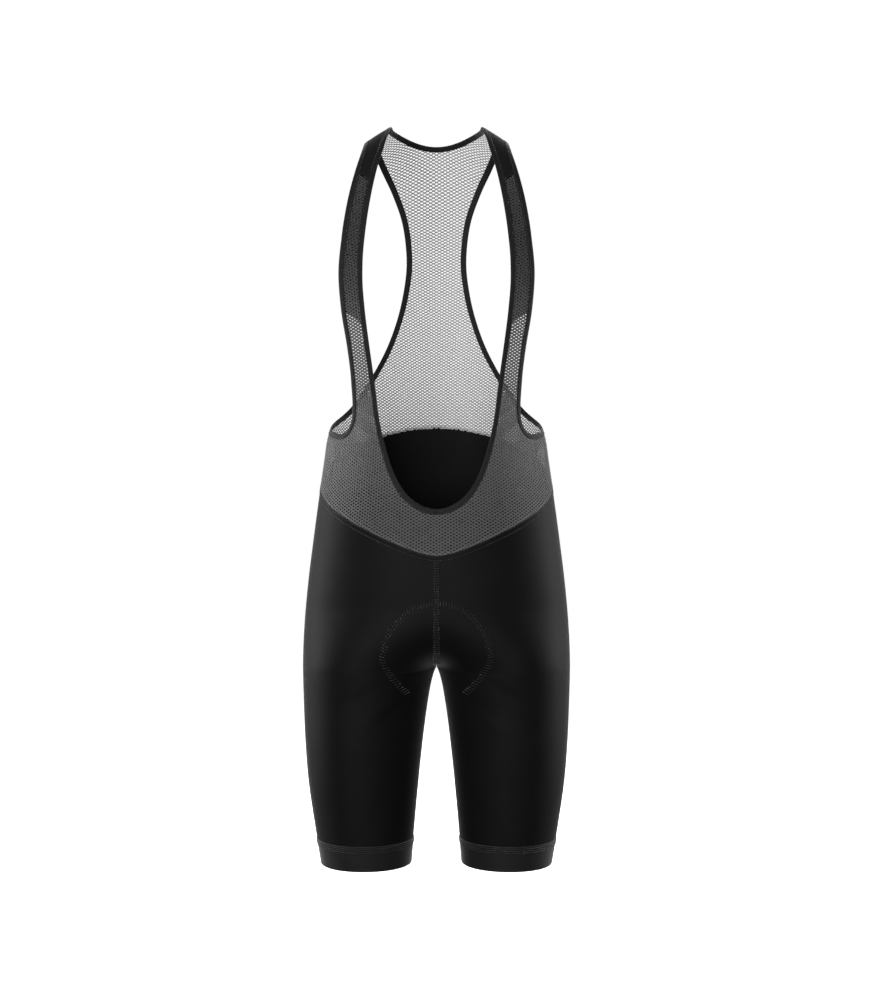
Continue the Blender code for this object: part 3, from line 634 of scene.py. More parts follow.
def pad_seam(side):
    """The line that sews the pad in on the wearer's left, on the pattern."""
    seen = stations(curve_through(PAD_SEAM[side]), [0, 1], [PAD_LINE_STATIONS])
    return curve_through([on_pattern(side, x, z) for x, z in seen])


PAD_LINES = {side: pad_seam(side) for side in (FRONT, BACK)}


def pad_outlines():
    """Closed outlines of the pad's swell on each side, down to the inseam."""
    outlines = {}
    for side, line in PAD_LINES.items():
        every = line[::PAD_LINE_STEP]
        outlines[side] = np.vstack([every, [(0.0, every[-1, 1]), (0.0, every[0, 1])]])
    return outlines


PAD_OUTLINES = pad_outlines()


def inside(points, outline):
    """Which points lie inside a closed outline."""
    x, y = points[:, :1], points[:, 1:]
    ax, ay = outline.T
    bx, by = np.roll(outline, -1, axis=0).T
    crosses = (ay > y) != (by > y)
    at = ax + (y - ay) / np.where(by == ay, TINY, by - ay) * (bx - ax)
    return (crosses & (x < at)).sum(axis=1) % 2 == 1


def relief(side, across, fall):
    """How far the cloth stands out of the form at pattern places."""
    side, across, fall = fold(side, across, fall)
    height = np.zeros(len(across))
    for crease, (middle, level) in zip(CREASES, CREASE_PLACES):
        lean = math.radians(crease.lean)
        over, down = across - middle, fall - level
        along = down * math.cos(lean) + over * math.sin(lean)
        off = over * math.cos(lean) - down * math.sin(lean)
        bell = np.exp(-(off / crease.width) ** 2 - (2 * along / crease.length) ** 4)
        height += crease.depth * bell * (side == crease.side)
    height *= ease(np.abs(across) / INSEAM_FADE)
    for half, outline in PAD_OUTLINES.items():
        low, high = outline.min(axis=0) - PAD_SLOPE, outline.max(axis=0) + PAD_SLOPE
        places = np.stack([np.abs(across), fall], axis=1)
        near = (side == half) & (places < high).all(axis=1) & (places > low).all(axis=1)
        if near.any():
            picked = places[near]
            line = PAD_LINES[half][::PAD_LINE_STEP]
            away = np.linalg.norm(picked[:, None] - line[None], axis=2).min(axis=1)
            fade = ease((outline[:, 1].max() - picked[:, 1]) / PAD_FADE)
            height[near] += PAD_SWELL * ease(away / PAD_SLOPE) * fade * inside(picked, outline)
    return height


def lay(side, places, height):
    """Points on the cloth over pattern places, a height above it."""
    surface = form(side, places[:, 0], places[:, 1])
    lift = relief(side, places[:, 0], places[:, 1]) + height
    return surface + lift[:, None] * outward(side, places[:, 0], places[:, 1])


# ---------------------------------------------------------------- edges on the pattern

def inset(curve, width, end_mirror):
    """Move a pattern curve that starts on the ridge to its right; mirrors continue it past its ends."""
    run = np.vstack([curve[1] * OVER_RIDGE, curve, curve[-2] * end_mirror])
    tangent = run[2:] - run[:-2]
    tangent /= np.linalg.norm(tangent, axis=1, keepdims=True)
    return curve + width * np.stack([tangent[:, 1], -tangent[:, 0]], axis=1)


def neck_inset(curve, width):
    """Move a neck edge into the cloth."""
    return inset(curve, width, ACROSS_CENTRE)


def arm_inset(curve, width):
    """Move the armhole edge into the cloth."""
    return inset(curve, -width, OVER_RIDGE)


def split_at(curve, fall):
    """Share of a curve's length at which it first reaches a fall."""
    return np.argmax(curve[:, 1] >= fall) / (len(curve) - 1)


def neck_front():
    """The front neck edge from the ridge down to the centre front, with a station at the cap seam."""
    places = [on_ridge(STRAP_INNER)]
    places += [on_pattern(FRONT, edge.x, edge.z) for edge in NECK_EDGE]
    places += [(0.0, fall_at(NECK_POINT))]
    curve = curve_through(places)
    cap = split_at(curve, on_pattern(FRONT, STRAP_INNER, CAP_SEAM_INNER)[1])
    return stations(curve, [0, cap, 1], [CAP_STATIONS, STRAP_STATIONS])


def neck_back():
    """The back neck edge, half an ellipse from the ridge to the centre back."""
    turn = np.linspace(0, np.pi / 2, NAPE_STATIONS)
    fall = NAPE_FALL * np.sin(turn)
    outline_x, _, shares = half_outline(BACK, fall)
    share = read_rows(STRAP_INNER * np.cos(turn), outline_x, shares)
    return np.stack([HALF_GIRTH * share, fall], axis=1)


def armhole():
    """The armhole edge laid flat: down the front, past the side seam, and up the back."""
    front = [on_ridge(STRAP_OUTER)]
    front += [on_pattern(FRONT, edge.x, edge.z) for edge in ARMHOLE_FRONT_EDGE]
    front += [(HALF_GIRTH, fall_at(ARMHOLE_SIDE))]
    back = [on_pattern(BACK, edge.x, edge.z) for edge in reversed(ARMHOLE_BACK_EDGE)]
    back += [on_ridge(STRAP_OUTER)]
    places = front + [(2 * HALF_GIRTH - across, fall) for across, fall in back]
    curve = curve_through(places)
    cap = split_at(curve, on_pattern(FRONT, STRAP_OUTER, CAP_SEAM_OUTER)[1])
    side = np.searchsorted(curve[:, 0], HALF_GIRTH) / (len(curve) - 1)
    return stations(curve, [0, cap, side, 1], [CAP_STATIONS, ARM_STATIONS, ARM_STATIONS])


NECK = neck_front()
NAPE = neck_back()
ARM = armhole()


def waist_level(side, share):
    """Height of the waist seam: a blunt V in front, a shallow arch behind."""
    if side == FRONT:
        run = np.hypot(share, WAIST_POINT) - WAIST_POINT
        return WAIST_FRONT + (WAIST_SIDE - WAIST_FRONT) * run / (np.hypot(1, WAIST_POINT) - WAIST_POINT)
    return WAIST_BACK + (WAIST_SIDE - WAIST_BACK) * share ** 2


def flipped(places):
    """The same places on the wearer's right, in the opposite order."""
    return places[::-1] * np.array([-1, 1])


def waist_run(side, drop=0.0):
    """Places along the waist seam from the centre to the left side seam."""
    shares = np.linspace(0, 1, WAIST_STATIONS)
    return np.stack([HALF_GIRTH * shares, fall_at(waist_level(side, shares) - drop)], axis=1)


def waist_loop(drop):
    """Places once round the waist seam, laid flat from the centre back to the centre back."""
    front = waist_run(FRONT, drop)
    back = waist_run(BACK, drop)
    back = np.stack([2 * HALF_GIRTH - back[::-1, 0], back[::-1, 1]], axis=1)
    left = np.vstack([front, back[1:]])
    return np.vstack([flipped(left)[:-1], left])


# ---------------------------------------------------------------- meshes

class Piece:
    """Points, faces and flat places of one piece, gathered from several runs of cloth or thread."""

    def __init__(self):
        self.points = []
        self.faces = []
        self.places = []
        self.painted_shades = []
        self.count = 0

    def add(self, points, faces, places, painted_shades=0.0):
        """Add a run: points, faces that count from 0, flat places in metres, and shares of painted
        shade from 0 to 1.
        """
        self.points.append(np.asarray(points))
        self.places.append(np.asarray(places))
        self.painted_shades.append(np.broadcast_to(painted_shades, len(points)))
        self.faces += [tuple(int(k) + self.count for k in face) for face in faces]
        self.count += len(points)

    def add_wall(self, solid, body, places):
        """Add a closed wall whose outer sheet comes first and whose inner sheet lies deep and takes
        full painted shade.
        """
        self.add(solid, body, np.vstack([places, places]), np.repeat((0.0, 1.0), len(places)))

    def build(self, name, material, sharp=math.pi):
        """Make the object, smooth up to a sharp angle, which rides on the garment."""
        mesh = bpy.data.meshes.new(name)
        mesh.from_pydata(np.vstack(self.points).tolist(), [], self.faces)
        mesh.validate()
        mesh.shade_smooth()
        if sharp < math.pi:
            mesh.set_sharp_from_angle(angle=sharp)
        # Each point's share of painted shade, which darkens the colour of the materials that read it.
        depth = mesh.attributes.new(SHADE_ATTRIBUTE, "FLOAT", "POINT")
        depth.data.foreach_set("value", np.concatenate(self.painted_shades).astype(np.float32))
        corner = np.zeros(len(mesh.loops), np.int32)
        mesh.loops.foreach_get("vertex_index", corner)
        flat = mesh.uv_layers.new(name=CLOTH_MAP)
        flat.data.foreach_set("uv", np.vstack(self.places)[corner].astype(np.float32).ravel())
        mesh.materials.append(material)
        piece = bpy.data.objects.new(name, mesh)
        bpy.context.scene.collection.objects.link(piece)
        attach(piece, "root")
        return piece


def facing_out(points, faces, normal):
    """The faces, turned if need be so that they look along the points' normals."""
    corners = np.array([face[:3] for face in faces])
    a, b, c = (points[corners[:, k]] for k in range(3))
    if np.einsum("ij,ij->", np.cross(b - a, c - a), normal[corners[:, 0]]) < 0:
        return [tuple(reversed(face)) for face in faces]
    return faces


def wall(outer, inner, faces):
    """Points and faces of a closed wall between an outer and an inner sheet."""
    faces = facing_out(outer, faces, outer - inner)
    edges = [edge for face in faces for edge in zip(face, face[1:] + face[:1])]
    shared = set(edges)
    count = len(outer)
    body = list(faces)
    body += [tuple(corner + count for corner in reversed(face)) for face in faces]
    body += [(b, a, a + count, b + count) for a, b in edges if (b, a) not in shared]
    return np.vstack([outer, inner]), body


def vertex_normals(points, faces):
    """Unit normals of a sheet of four-cornered faces at its points."""
    corners = np.array(faces)
    a, b, c, d = (points[corners[:, k]] for k in range(4))
    facing = np.cross(c - a, d - b)
    total = np.zeros_like(points)
    for k in range(4):
        np.add.at(total, corners[:, k], facing)
    return total / np.linalg.norm(total, axis=1, keepdims=True)


def grid_faces(rows, columns):
    """Faces of a grid of points, row after row."""
    return [(i * columns + j, i * columns + j + 1, (i + 1) * columns + j + 1, (i + 1) * columns + j)
            for i in range(rows - 1) for j in range(columns - 1)]


def tube_faces(count, sides, closed):
    """Faces of a tube whose rings follow each other, with end caps unless it closes on itself."""
    faces = []
    for i in range(count if closed else count - 1):
        here, there = i * sides, (i + 1) % count * sides
        for j in range(sides):
            after = (j + 1) % sides
            faces.append((here + j, there + j, there + after, here + after))
    if not closed:
        faces.append(tuple(range(sides)))
        faces.append(tuple(reversed(range((count - 1) * sides, count * sides))))
    return faces


def profile_reaches(width):
    """How far across a strip each point of its rounded profile lies."""
    across = np.cos(np.linspace(0, 2 * np.pi, PROFILE_POINTS, endpoint=False))
    return width / 2 - width / 2 * np.sign(across) * np.abs(across) ** (2 / PROFILE_ROUNDNESS)


def strip_from_rails(side, rails, thickness, middle, closed):
    """A rounded strip through one rail of pattern places for each point of its profile.

    It gives the strip's points, faces and flat places.
    """
    count = len(rails[0])
    up = np.sin(np.linspace(0, 2 * np.pi, PROFILE_POINTS, endpoint=False))
    heights = middle + thickness / 2 * np.sign(up) * np.abs(up) ** PROFILE_FULLNESS
    rings = np.stack([lay(side, rail, height) for rail, height in zip(rails, heights)], axis=1)
    points = rings.reshape(-1, 3)
    run = lengths(rings.mean(axis=1))
    around = np.linspace(0, 2 * BINDING_WIDTH, PROFILE_POINTS)
    places = np.stack([np.repeat(run, PROFILE_POINTS), np.tile(around, count)], axis=1)
    faces = tube_faces(count, PROFILE_POINTS, closed)
    centre = np.repeat(rings.mean(axis=1), PROFILE_POINTS, axis=0)
    return points, facing_out(points, faces, points - centre), places


def threads(piece, starts, ends, bows):
    """Add short threads from each start to each end, with their middles raised by `bows`."""
    middle = (starts + ends) / 2 + bows
    rings = np.stack([starts, middle, ends], axis=1)
    along = ends - starts
    along /= np.linalg.norm(along, axis=1, keepdims=True)
    up = bows / np.maximum(np.linalg.norm(bows, axis=1, keepdims=True), TINY)
    wide = np.cross(along, up)
    turn = np.linspace(0, 2 * np.pi, THREAD_SIDES, endpoint=False)
    faces = tube_faces(3, THREAD_SIDES, False)
    spread = [THREAD * (np.cos(t) * wide + np.sin(t) * up) for t in turn]
    flat = np.stack([np.repeat((0, 0.5, 1), THREAD_SIDES), np.tile(turn, 3)], axis=1) * THREAD
    for k in range(len(starts)):
        ring = np.array([s[k] for s in spread])
        points = (rings[k][:, None] + ring[None]).reshape(-1, 3)
        piece.add(points, faces, flat)


def spaced(path, pitch):
    """A path of pattern places, read again at an even pitch."""
    count = max(2, int(round(lengths(path)[-1] / pitch)) + 1)
    return stations(path, [0, 1], [count])


def beside(path, reach):
    """A path moved to its right by `reach`."""
    ahead = np.vstack([path[1:], 2 * path[-1] - path[-2]])
    behind = np.vstack([2 * path[0] - path[1], path[:-1]])
    tangent = ahead - behind
    tangent /= np.linalg.norm(tangent, axis=1, keepdims=True)
    return path + reach * np.stack([tangent[:, 1], -tangent[:, 0]], axis=1)


def running_stitch(piece, side, path, height, clear_of_ridge=0.0):
    """Stitches that follow a path of pattern places, left out within some distance of the ridge."""
    stops = spaced(path, STITCH_PITCH)
    starts, ends = stops[:-1], stops[:-1] + STITCH_SHARE * (stops[1:] - stops[:-1])
    kept = np.abs(starts[:, 1]) >= clear_of_ridge
    starts, ends = starts[kept], ends[kept]
    up = outward(side, starts[:, 0], starts[:, 1])
    threads(piece, lay(side, starts, height), lay(side, ends, height), THREAD * up)


def rungs(piece, side, path):
    """Threads squarely across a seam's path, like the rungs of a ladder."""
    stops = spaced(path, RUNG_PITCH)
    reach, height = SEAM_WIDTH * RUNG_REACH, SEAM_HEIGHT * RUNG_HEIGHT
    left, right = beside(stops, -reach)[:-1], beside(stops, reach)[:-1]
    up = outward(side, stops[:-1, 0], stops[:-1, 1])
    threads(piece, lay(side, left, height), lay(side, right, height), THREAD * up)


# ---------------------------------------------------------------- materials

class Socket:
    """A value, colour or vector in a material; sums and products of it add Math nodes."""

    def __init__(self, shader, link):
        self.shader = shader
        self.link = link

    def maths(self, operation, first, second=0.0):
        """A Math node's result."""
        return self.shader.node("ShaderNodeMath", {"operation": operation}, {0: first, 1: second})

    def __add__(self, other):
        return self.maths("ADD", self, other)

    def __mul__(self, other):
        return self.maths("MULTIPLY", self, other)

    __radd__ = __add__
    __rmul__ = __mul__

    def sine(self):
        """The sine of the value."""
        return self.maths("SINE", self)

    def size(self):
        """The value without its sign."""
        return self.maths("ABSOLUTE", self)


class Shader:
    """A material's node tree, built through one method."""

    # Places of a Mix node's colour sockets, which share their names with its other sockets.
    SHARE, FIRST, SECOND, MIXED = 0, 6, 7, 2

    def __init__(self, name):
        self.material = bpy.data.materials.new(name)
        self.material.use_nodes = True
        self.tree = self.material.node_tree
        self.principled = self.tree.nodes["Principled BSDF"]

    def node(self, kind, settings, inputs, output=0):
        """Add a node: its settings first, then the values or links of its sockets."""
        made = self.tree.nodes.new(kind)
        for key, value in settings.items():
            setattr(made, key, value)
        for key, value in inputs.items():
            self.fill(made.inputs[key], value)
        return Socket(self, made.outputs[output])

    def fill(self, socket, value):
        """Give a socket a link or a plain value."""
        if isinstance(value, Socket):
            self.tree.links.new(value.link, socket)
        else:
            socket.default_value = value

    def finish(self, **inputs):
        """Set the Principled shader's sockets; the names have underscores for spaces."""
        for key, value in inputs.items():
            self.fill(self.principled.inputs[key.replace("_", " ")], value)
        return self.material

    def flat_place(self):
        """The cloth's own flat coordinates, in metres: along the first and down the second."""
        cloth = self.node("ShaderNodeUVMap", {"uv_map": CLOTH_MAP}, {})
        x = self.node("ShaderNodeSeparateXYZ", {}, {0: cloth})
        return x, Socket(self, x.link.node.outputs[1])

    def depth(self):
        """The share of painted shade at a place, from 0 to 1: none on the outside, full on the inside
        and at a hole's rim, and some on a thread's ridge where the net tables give it.
        """
        return self.node("ShaderNodeAttribute", {"attribute_name": SHADE_ATTRIBUTE}, {}, "Fac")

    def noise(self, size, detail=2.0):
        """Soft random patches about `size` metres across, in the object's own space."""
        place = self.node("ShaderNodeTexCoord", {}, {}, "Object")
        inputs = {"Vector": place, "Scale": 1 / size, "Detail": detail}
        return self.node("ShaderNodeTexNoise", {}, inputs)

    def mix(self, share, first, second):
        """A colour between two colours, each of them plain or a socket."""
        first, second = (c if isinstance(c, Socket) else (*c, 1) for c in (first, second))
        inputs = {self.SHARE: share, self.FIRST: first, self.SECOND: second}
        return self.node("ShaderNodeMix", {"data_type": "RGBA"}, inputs, self.MIXED)

    def bump(self, height, distance):
        """A normal from a height, whose full swing is `distance` metres."""
        inputs = {"Height": height, "Distance": distance, "Strength": 1.0}
        return self.node("ShaderNodeBump", {}, inputs)


def knit(shader, wale, course):
    """Height of a plain knit face: columns of small V loops, `wale` apart and `course` high."""
    x, y = shader.flat_place()
    rib = (x * (math.tau / wale)).sine()
    lean = (x * (math.pi / wale)).sine().size()
    loop = (y * (math.tau / course) + lean * math.pi).sine()
    return rib * 0.25 + loop * 0.25 + 0.5


def ribs(place, pitch):
    """Height of fine ribs, `pitch` apart along a flat coordinate."""
    return (place * (math.tau / pitch)).sine() * 0.5 + 0.5


def shade_of(colour, factor):
    """A colour made lighter or darker by a factor."""
    return tuple(min(1.0, part * factor) for part in colour)


def lycra_material():
    """Stretch knit with a satin sheen that lights up towards the sides, and painted shade that darkens
    its inside faces.
    """
    shader = Shader("stretch_knit")
    colour = colours().lycra
    patches = shader.noise(0.030)
    grain = shader.noise(0.0011, detail=4.0)
    height = knit(shader, wale=0.0010, course=0.0012) * 0.6 + grain * 0.4
    outside = shader.mix(patches, shade_of(colour, 0.8), shade_of(colour, 1.25))
    # Painted shade: the inside faces, where the shade attribute is full, take 0.4 of the colour.
    return shader.finish(
        Base_Color=shader.mix(shader.depth(), outside, shade_of(colour, 0.4)),
        Roughness=0.52 + 0.10 * grain,
        Specular_IOR_Level=0.06,
        Sheen_Weight=0.18,
        Sheen_Roughness=0.28,
        Normal=shader.bump(height, 0.00010))


def gripper_material():
    """Satin elastic band with fine lengthways ribs."""
    shader = Shader("leg_gripper")
    colour = colours().gripper
    _, y = shader.flat_place()
    rib = ribs(y, pitch=0.0014)
    grain = shader.noise(0.0012, detail=3.0)
    return shader.finish(
        Base_Color=shader.mix(shader.noise(0.02), shade_of(colour, 0.85), shade_of(colour, 1.2)),
        Roughness=0.46 + 0.08 * grain,
        Specular_IOR_Level=0.08,
        Sheen_Weight=0.45,
        Sheen_Roughness=0.32,
        Normal=shader.bump(rib * 0.6 + grain * 0.4, 0.00008))


def net_material(name, colour, painted_shade):
    """Knitted net yarn: matt and slightly uneven, with painted shade that darkens it towards the holes'
    rims and on the ridges that the net tables shade.
    """
    shader = Shader(name)
    grain = shader.noise(0.0006, detail=3.0)
    patches = shader.noise(0.012)
    ridge = shader.mix(patches * 0.5 + grain * 0.5, shade_of(colour, 0.75), shade_of(colour, 1.25))
    # Painted shade: where the shade attribute is high, the colour falls to the given share of itself.
    return shader.finish(
        Base_Color=shader.mix(shader.depth(), ridge, shade_of(colour, painted_shade)),
        Roughness=0.62 + 0.12 * grain,
        Specular_IOR_Level=0.30,
        Sheen_Weight=0.15,
        Sheen_Roughness=0.45,
        Normal=shader.bump(grain, 0.00012))


def binding_material():
    """Folded binding with fine cross ribs."""
    shader = Shader("edge_binding")
    colour = colours().binding
    x, _ = shader.flat_place()
    rib = ribs(x, pitch=0.0013)
    grain = shader.noise(0.0009, detail=3.0)
    return shader.finish(
        Base_Color=shader.mix(grain, shade_of(colour, 0.75), shade_of(colour, 1.3)),
        Roughness=0.58 + 0.10 * grain,
        Specular_IOR_Level=0.12,
        Sheen_Weight=0.16,
        Sheen_Roughness=0.35,
        Normal=shader.bump(rib * 0.7 + grain * 0.3, 0.00016))


def cap_material():
    """Matt knit of the shoulder caps and of the backing behind the straps, with painted shade in the
    knit's hollows and painted highlight on its loops.
    """
    shader = Shader("plain_knit")
    colour = colours().binding
    height = knit(shader, wale=0.0011, course=0.0013)
    # Painted shade and highlight: the colour follows the knit's height, darker in its hollows and
    # lighter on its loops.
    return shader.finish(
        Base_Color=shader.mix(height, shade_of(colour, 0.7), shade_of(colour, 1.2)),
        Roughness=0.70 + 0.08 * height,
        Specular_IOR_Level=0.06,
        Sheen_Weight=0.08,
        Sheen_Roughness=0.35,
        Normal=shader.bump(height, 0.00008))


def thread_material():
    """Sewing thread, a little glossier than the cloth."""
    shader = Shader("sewing_thread")
    colour = shade_of(colours().lycra, 1.6)
    grain = shader.noise(0.0005)
    return shader.finish(
        Base_Color=shader.mix(grain, shade_of(colour, 0.8), shade_of(colour, 1.3)),
        Roughness=0.42 + 0.10 * grain,
        Specular_IOR_Level=0.30,
        Sheen_Weight=0.30,
        Sheen_Roughness=0.40,
        Normal=shader.bump(grain, 0.00006))


def fleece_material():
    """Brushed fleece of the seat pad."""
    shader = Shader("pad_fleece")
    colour = colours().pad
    nap = shader.noise(0.0016, detail=6.0)
    patches = shader.noise(0.02)
    return shader.finish(
        Base_Color=shader.mix(patches * 0.6 + nap * 0.4, shade_of(colour, 0.75), shade_of(colour, 1.3)),
        Roughness=0.85 + 0.08 * nap,
        Specular_IOR_Level=0.15,
        Sheen_Weight=0.60,
        Sheen_Roughness=0.55,
        Normal=shader.bump(nap, 0.00040))


# ---------------------------------------------------------------- the shorts

def column_shares(side, level):
    """Shares of the columns from the centre line to the side; PAD_COLUMNS of them lie over the pad."""
    edge = read_down(PAD_EDGES, edge_of(side), level)
    under_pad = np.linspace(0, edge, PAD_COLUMNS + 1)
    beyond = np.linspace(edge, 1, HALF_COLUMNS - PAD_COLUMNS + 1)
    return np.concatenate([under_pad, beyond[1:]])


def leg_row(levels_front, levels_back, share_level):
    """One row round the left half, from the centre front past the side to the centre back.

    It gives the points and their places: side, across and fall.
    """
    shares_front = column_shares(FRONT, share_level)
    shares_back = column_shares(BACK, share_level)[::-1]
    falls = np.concatenate([fall_at(levels_front) + 0 * shares_front,
                            (fall_at(levels_back) + 0 * shares_back)[1:]])
    across = HALF_GIRTH * np.concatenate([shares_front, shares_back[1:]])
    sides = np.concatenate([np.full(len(shares_front), FRONT), np.full(len(shares_back) - 1, BACK)])
    row = form(sides, across, falls)
    row[:, 0] = np.maximum(row[:, 0], GAP / 2)
    return row, np.stack([sides, across, falls], axis=1)


def shorts_rows():
    """Rows of the left half from the waist seam to the hem seam, and the index of the crotch's row."""
    up = np.arange(SADDLE_ROWS, -1, -1) / SADDLE_ROWS
    down = np.arange(1, LEG_ROWS + 1) / LEG_ROWS
    above = CROTCH + (PAD_TOP - CROTCH) * up ** SADDLE_CROWDING
    below = CROTCH + (HEM_SEAM - CROTCH) * down ** LEG_CROWDING
    levels = np.concatenate([above, below])
    shares = column_shares(FRONT, WAIST_BACK)
    top_front = waist_level(FRONT, shares) - GAP / 2
    top_back = waist_level(BACK, shares[::-1]) - GAP / 2
    rows = []
    for k in range(YOKE_ROWS):
        t = k / YOKE_ROWS
        front = top_front + (levels[0] - top_front) * t
        back = top_back + (levels[0] - top_back) * t
        rows.append(leg_row(front, back, WAIST_BACK + (levels[0] - WAIST_BACK) * t))
    rows += [leg_row(level, level, level) for level in levels]
    return rows, YOKE_ROWS + SADDLE_ROWS


def sheet_of_rows(rows, closed_from):
    """Number the points of rows that are rings from one row on: points, faces and places."""
    count, width = len(rows), len(rows[0][0])
    index = -np.ones((count, width), int)
    points = []
    places = []
    for i, (row, place) in enumerate(rows):
        ring = i >= closed_from
        kept = width - 1 if ring else width
        index[i, :kept] = len(points) + np.arange(kept)
        if ring:
            index[i, -1] = index[i, 0]
        points += list(row[:kept])
        places += list(place[:kept])
    corner = index.tolist()
    faces = [(corner[i][j], corner[i][j + 1], corner[i + 1][j + 1], corner[i + 1][j])
             for i in range(count - 1) for j in range(width - 1)]
    return np.array(points), faces, np.array(places)


def outward_normals(points, faces):
    """Normals of a half's sheet that look out; on the centre seam they stay in its plane."""
    normal = vertex_normals(points, faces)
    on_seam = points[:, 0] <= GAP
    normal[on_seam, 0] = 0
    normal /= np.linalg.norm(normal, axis=1, keepdims=True)
    return normal * np.sign(normal[np.argmax(points[:, 0]), 0])


def unrolled(places):
    """Flat places in metres from places with a side: the back runs on past the side seam."""
    across = np.where(places[:, 0] == FRONT, places[:, 1], 2 * HALF_GIRTH - places[:, 1])
    return np.stack([across, places[:, 2]], axis=1)


def half_piece(name, sheet, thickness, proud, mirror, material):
    """A left or right half from a left sheet, with the creases of its own side."""
    points, faces, places = sheet
    normal = outward_normals(points, faces)
    hand = -1 if mirror else 1
    lift = relief(places[:, 0], hand * places[:, 1], places[:, 2])
    outer = points + (lift + proud)[:, None] * normal
    inner = outer - thickness * normal
    solid, body = wall(outer, inner, faces)
    if mirror:
        solid = solid * np.array([-1, 1, 1])
        body = [tuple(reversed(face)) for face in body]
    piece = Piece()
    piece.add_wall(solid, body, unrolled(places) * np.array([hand, 1]))
    return piece.build(name, material, SHARP)


def sheet_area(points, faces):
    """Area of a sheet of four-cornered faces."""
    corners = np.array(faces)
    a, b, c, d = (points[corners[:, k]] for k in range(4))
    return float(np.linalg.norm(np.cross(c - a, d - b), axis=1).sum() / 2)


def declare(node):
    """Hide the part that a piece of cloth stands for."""
    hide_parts(node)


def make_legs():
    """The left and right halves of the shorts."""
    rows, crotch_row = shorts_rows()
    sheet = sheet_of_rows(rows, crotch_row)
    material = lycra_material()
    area = sheet_area(sheet[0], sheet[1]) / STRETCH
    for hand, mirror in HANDS:
        piece = half_piece("leg_" + hand, sheet, LYCRA, 0.0, mirror, material)
        declare("shorts_" + hand)


def make_grippers():
    """The satin band round each leg's hem."""
    levels = np.linspace(HEM_SEAM - GAP, HEM, BAND_ROWS + 1)
    rows = [leg_row(level, level, HEM_SEAM) for level in levels]
    sheet = sheet_of_rows(rows, 0)
    material = gripper_material()
    area = sheet_area(sheet[0], sheet[1]) / STRETCH
    for hand, mirror in HANDS:
        piece = half_piece("gripper_" + hand, sheet, BAND_CLOTH, BAND_PROUD, mirror, material)
        declare("hem_band_" + hand)


# ---------------------------------------------------------------- the pad

def pad_rows():
    """Rows of the left half of the pad: the front strip and the back strip side by side."""
    crotch_row = PAD_ROWS
    levels = np.concatenate([np.linspace(PAD_TOP - PAD_START, CROTCH, PAD_ROWS + 1),
                             np.linspace(CROTCH, PAD_END, PAD_ROWS // 2 + 1)[1:]])
    share = np.linspace(0, 1, PAD_COLUMNS + 1)
    strips = []
    last = len(levels) - 1
    for k, level in enumerate(levels):
        near_end = min(k / crotch_row, (last - k) / (last - crotch_row))
        from_end = 1 - np.clip(PAD_TAPER * near_end + PAD_BLUNTNESS, 0, 1)
        narrow = (1 - from_end ** PAD_END_ROUNDNESS) ** (1 / PAD_END_ROUNDNESS)
        row = {}
        for side in (FRONT, BACK):
            edge = read_down(PAD_EDGES, edge_of(side), level) * narrow
            row[side] = form(side, HALF_GIRTH * edge * share, fall_at(level))
        strips.append((row[FRONT], row[BACK]))
    return strips, crotch_row


def make_pad():
    """The seat pad inside the crotch: fleece over foam, thickest along its middle."""
    strips, crotch_row = pad_rows()
    numbers = {}
    points = []
    swell = []
    flat = []
    last = len(strips) - 1

    def corner(i, j, half, mirror):
        """A point of the pad, shared along the centre line, and along the inseam below the crotch."""
        central = j == 0 and i <= crotch_row
        meets = j == 0 and i >= crotch_row
        key = (i, j, 0 if meets else half, mirror and not central)
        if key not in numbers:
            numbers[key] = len(points)
            place = strips[i][0 if half == FRONT else 1][j].copy()
            place[0] = 0.0 if central else place[0] * (-1 if mirror else 1)
            points.append(place)
            rows_in = ease(PAD_END_SLOPE * min(i, last - i) / last)
            share = j / PAD_COLUMNS
            off_channel = (share - PAD_CHANNEL_PLACE) / PAD_CHANNEL_WIDTH
            channel = 1 - PAD_CHANNEL_DEPTH * math.exp(-off_channel ** 2)
            swell.append(rows_in * (1 - share ** 2) * channel)
            over, down = PAD_FLAT_STEPS
            flat.append((half * PAD_FLAT_SIDE + over * j * (-1 if mirror else 1), down * i))
        return numbers[key]

    faces = []
    for mirror in (False, True):
        for half in (FRONT, BACK):
            turned = (half == BACK) != mirror
            for i in range(last):
                for j in range(PAD_COLUMNS):
                    face = (corner(i, j, half, mirror), corner(i, j + 1, half, mirror),
                            corner(i + 1, j + 1, half, mirror), corner(i + 1, j, half, mirror))
                    faces.append(tuple(reversed(face)) if turned else face)
    points = np.array(points)
    normal = vertex_normals(points, faces)
    front_most = np.argmin(points[:, 1])
    normal *= -np.sign(normal[front_most, 1])
    outer = points - (LYCRA + PAD_GAP) * normal
    depth = PAD_RIM + (PAD_MIDDLE - PAD_RIM) * np.array(swell)
    inner = outer - depth[:, None] * normal
    solid, body = wall(outer, inner, faces)
    piece = Piece()
    piece.add(solid, body, np.vstack([flat, flat]))
    pad = piece.build("seat_pad", fleece_material())
    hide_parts("chamois_pad")


# ---------------------------------------------------------------- the net

def net_holes(outline, pitch):
    """Centres of the net's holes inside an outline, with every other column half a pitch down."""
    spread = pitch * math.sqrt(3) / 2
    low, high = outline.min(axis=0), outline.max(axis=0)
    columns = np.arange(math.floor(low[0] / spread) - 1, math.ceil(high[0] / spread) + 2)
    rows = np.arange(math.floor(low[1] / pitch) - 1, math.ceil(high[1] / pitch) + 2)
    j, k = np.meshgrid(rows, columns)
    j, k = j.ravel(), k.ravel()
    centres = np.stack([k * spread, (j + 0.5 * (k % 2)) * pitch], axis=1)
    return centres[inside(centres, outline)]


